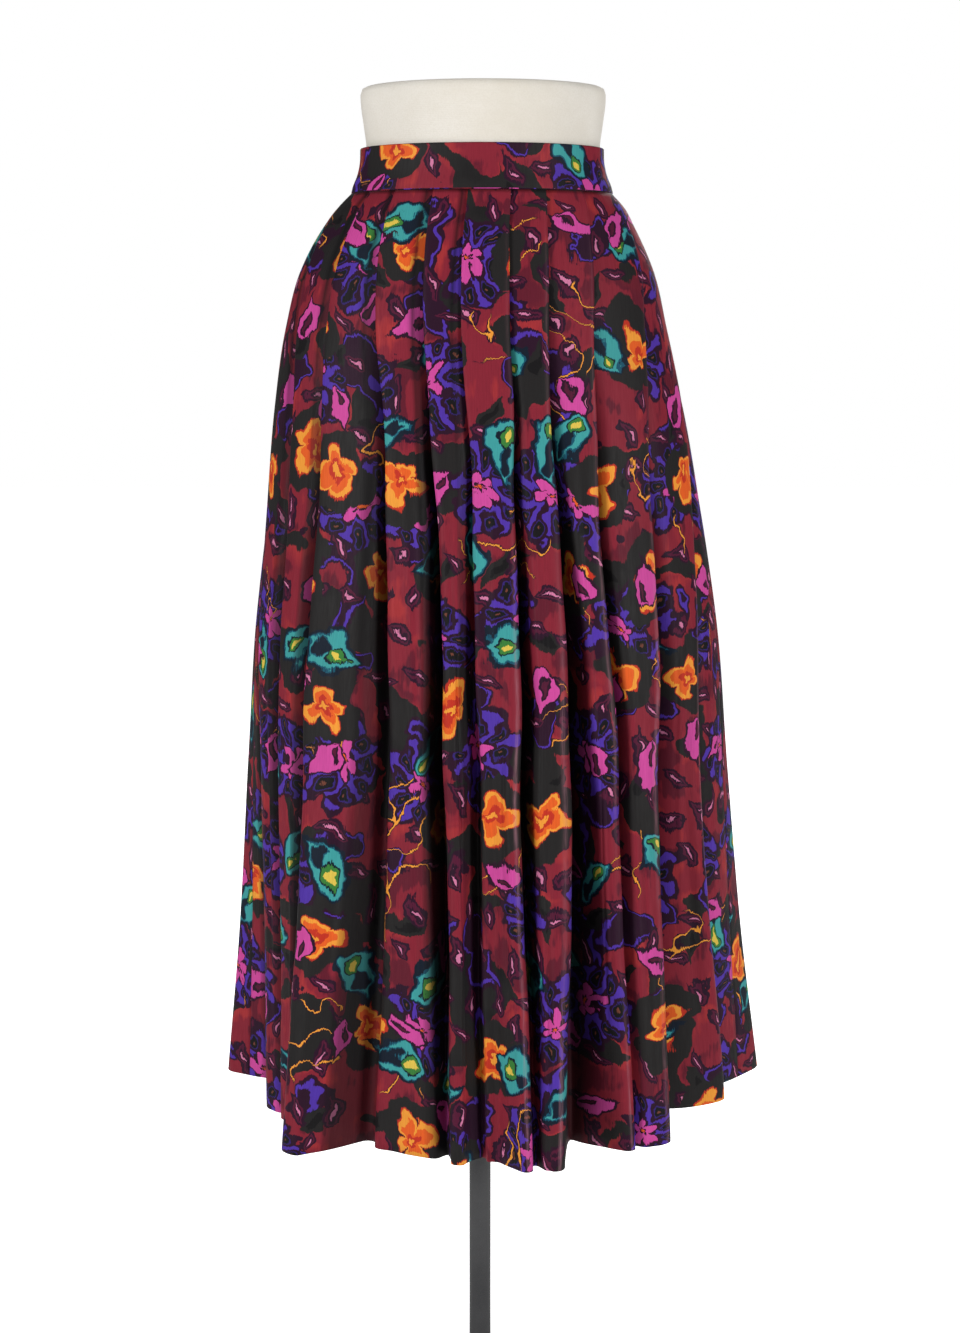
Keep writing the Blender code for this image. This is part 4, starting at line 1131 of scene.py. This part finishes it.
def make_thread():
    """Twisted polyester thread, with plies as slanting ridges along the piece's own v."""
    material, tree, shader = new_material("sewing_thread", Roughness=0.5, Sheen_Weight=0.2)
    along, around, _ = split(tree, cloth_place(tree))
    plies = wave(tree, sums(tree, "MULTIPLY_ADD", along, 0.8, around), 0.00045)
    tone = blend(tree, ease(tree, plies, -1.0, 1.0), srgb(44, 12, 26), srgb(96, 30, 48))
    tree.links.new(tone, shader.inputs["Base Color"])
    bump(tree, shader, plies, 0.00006, 0.8)
    return material


def tube_grid(path, side, lift, radius, turns=10):
    """A tube round a path, whose ends close to a point.

    Each point is path + radius sqrt(1 - t^12) (cos a side + sin a lift), with t from -1 to 1
    along the path and a going once round.
    """
    angle = np.linspace(0, 2 * np.pi, turns + 1)[:, None, None]
    t = np.linspace(-1, 1, len(path))[:, None]
    return path + radius * np.sqrt(1 - t**12) * (np.cos(angle) * side + np.sin(angle) * lift)


def directions(path):
    """The unit direction of a path at each of its points."""
    run = np.gradient(path, axis=0)
    return run / np.linalg.norm(run, axis=1, keepdims=True)


BUTTON_BEARING = np.radians(189.5)
BAND_HALF_WIDTH, BAND_HALF_DEPTH = 0.1175, 0.0940      # of the band's outside behind the button
HOLE_PLACE, PLY_STEP = 0.00184, 0.00032                # the holes' middles, and two plies apart
THREAD_RADIUS = 0.00034
BAR_HEIGHT, BAR_DIP, DIP_FROM = 0.00155, 0.0034, 0.72  # the bars' arch, and where they turn down
HOLE_START, HOLE_END = -0.0076, -0.0116                # of the buttonhole, along the band
HOLE_HALF_GAP, STITCH_RADIUS = 0.0010, 0.0004
HALF_BUTTON = 0.0015

button_low, button_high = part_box("button")
button_middle = (np.array(button_low) + np.array(button_high)) / 2
slope = np.array([
    np.sin(BUTTON_BEARING) / BAND_HALF_DEPTH, -np.cos(BUTTON_BEARING) / BAND_HALF_WIDTH, 0.0])
band_out = slope / np.linalg.norm(slope)
band_side = np.array([-band_out[1], band_out[0], 0.0])
band_up = np.array([0.0, 0.0, 1.0])


def on_band(across, up, out):
    """Points at places across, up and out from the button's middle, in its level frame."""
    return button_middle + together(across, up, out) @ np.array([band_side, band_up, band_out])


def thread_grids():
    """Two bars of thread between the button's holes.

    Each runs from hole to hole as a straight bar whose ends turn down into both holes.
    """
    t = np.linspace(-1, 1, 15)
    across = HOLE_PLACE * np.sin(np.clip(t * 1.25, -1, 1) * np.pi / 2)
    out = BAR_HEIGHT - BAR_DIP * np.clip(np.abs(t) - DIP_FROM, 0, 1) / (1 - DIP_FROM)
    grids = []
    for up in (-HOLE_PLACE, HOLE_PLACE):
        for offset in (-PLY_STEP, PLY_STEP):
            path = on_band(across, up + offset, out)
            lift = np.cross(directions(path), band_up)
            grids.append(tube_grid(path, band_up, lift, THREAD_RADIUS))
    length = np.linspace(0, 0.006, t.size)
    return grids, length


def buttonhole_grids():
    """The worked edge of the buttonhole, where it runs out from under the button.

    Two straight sides with half a circle between them.  They stand a little off the band and
    follow its curve, as across^2 / (2 R), R being the band's radius there.
    """
    band_radius = BAND_HALF_WIDTH**2 / BAND_HALF_DEPTH
    t = np.linspace(0, 1, 13)
    bend = np.pi * t[1:-1]
    side = HOLE_START + (HOLE_END - HOLE_START) * t
    across = np.concatenate([side, HOLE_END - HOLE_HALF_GAP * np.sin(bend),
                             HOLE_END + (HOLE_START - HOLE_END) * t])
    up = HOLE_HALF_GAP * np.concatenate([np.ones_like(t), np.cos(bend), -np.ones_like(t)])
    face = STITCH_RADIUS / 4 - HALF_BUTTON - SEAM_GAP
    path = on_band(across, up, face - across**2 / (2 * band_radius))
    grid = tube_grid(path, np.cross(band_out, directions(path)), band_out, STITCH_RADIUS)
    return [grid], lengths_along(path)


def joined(name, grids, length, girth):
    """One mesh of several grids of the same size, side by side, with the same places."""
    places = together(length, np.linspace(0, girth, len(grids[0]))[:, None])
    whole = bmesh.new()
    for number, grid in enumerate(grids):
        part = surface_mesh(f"{name}_{number}", grid, places)
        whole.from_mesh(part)
        bpy.data.meshes.remove(part)
    mesh = bpy.data.meshes.new(name)
    bmesh.ops.remove_doubles(whole, verts=whole.verts, dist=TOUCHING / 10)
    bmesh.ops.recalc_face_normals(whole, faces=whole.faces)
    whole.to_mesh(mesh)
    whole.free()
    mesh.shade_smooth()
    return mesh


button_mesh = bpy.data.objects["button"].data
button_mesh.materials.clear()
button_mesh.materials.append(make_resin(fine_grain))
sewing_thread = make_thread()
for name, (grids, length), girth in (
        ("button_thread", thread_grids(), 0.0020), ("buttonhole_stitch", buttonhole_grids(), 0.0026)):
    stitches = add_piece(name, joined(name, grids, length, girth), sewing_thread)


# ============================================================ floor, light and camera
# A plain white floor, soft boxes in front to the left and right and one behind, and the camera at
# the height and distance that the photograph's perspective gives.
FLOOR_REACH, FLOOR_DROP = 12.0, 0.0005


def pale_floor():
    """Plain white floor with a faint unevenness; it glows for the camera, less near the base.

    The lesser glow near the base is a painted contact shadow.
    """
    material, tree, shader = new_material(
        "studio_floor", Roughness=0.9, Emission_Color=(1.0, 1.0, 1.0, 1.0))
    place = solid_place(tree)
    stains, _ = noise(tree, place, 2.0, 3.0)
    tone = blend(tree, stains, srgb(250, 250, 250), srgb(244, 244, 243))
    tree.links.new(tone, shader.inputs["Base Color"])
    reach = add_node(tree, "ShaderNodeVectorMath", {0: place}, operation="LENGTH").outputs["Value"]
    seen = add_node(tree, "ShaderNodeLightPath").outputs["Is Camera Ray"]
    # painted contact shadow: the glow drops from 0.97 to 0.55 near the base
    glow = times(tree, seen, ease(tree, reach, 0.17, 0.34, 0.55, 0.97))
    tree.links.new(glow, shader.inputs["Emission Strength"])
    return material


def stand_in_scene(name, data, place=(0, 0, 0)):
    """Put something that isn't part of the model into the scene."""
    thing = bpy.data.objects.new(name, data)
    thing.location = place
    bpy.context.scene.collection.objects.link(thing)
    return thing


corner = np.array([-FLOOR_REACH, FLOOR_REACH])
floor_points = together(corner[None, :], corner[::-1, None], -FLOOR_DROP)
floor_mesh = surface_mesh("floor", floor_points, floor_points[..., :2])
floor_mesh.materials.append(pale_floor())
stand_in_scene("floor", floor_mesh)

AIM = Vector((0.0, 0.0, 0.85))
for name, place, size, power in (
        ("key_light", (-2.8, -2.3, 2.0), 1.0, 86.0), ("fill_light", (2.8, -2.3, 1.8), 1.0, 76.0),
        ("back_light", (0.6, 3.2, 2.4), 2.2, 72.0)):
    light = bpy.data.lights.new(name, "AREA")
    light.shape = "SQUARE"
    light.size = size
    light.energy = power
    lamp = stand_in_scene(name, light, place)
    lamp.rotation_euler = (AIM - Vector(place)).to_track_quat("-Z", "Y").to_euler()

world = bpy.data.worlds.new("studio")
bpy.context.scene.world = world
world.use_nodes = True
sky = world.node_tree.nodes["Background"]
seen = add_node(world.node_tree, "ShaderNodeLightPath").outputs["Is Camera Ray"]
feed(world.node_tree, sky.inputs["Strength"], ease(world.node_tree, seen, 0.0, 1.0, 0.10, 1.0))
sky.inputs["Color"].default_value = (1.0, 1.0, 1.0, 1.0)
bpy.context.scene.view_settings.view_transform = "Standard"

CAMERA_DISTANCE, CAMERA_DROP = 2.08, 0.1508            # the drop is from the waistband's top edge
FOCAL_PIXELS, IMAGE_HEIGHT = 2130.0, 1333.0
HORIZON_PIXELS = 356.5                                 # how far the horizon is above the middle
SENSOR = 36.0
lens = bpy.data.cameras.new("camera")
lens.sensor_fit = "VERTICAL"
lens.sensor_height = SENSOR
lens.sensor_width = SENSOR
lens.lens = FOCAL_PIXELS / IMAGE_HEIGHT * SENSOR
camera = stand_in_scene("camera", lens, (0.0, -CAMERA_DISTANCE, WAIST_Z - CAMERA_DROP))
camera.rotation_euler = (math.pi / 2 - math.atan(HORIZON_PIXELS / FOCAL_PIXELS), 0.0, 0.0)
bpy.context.scene.camera = camera
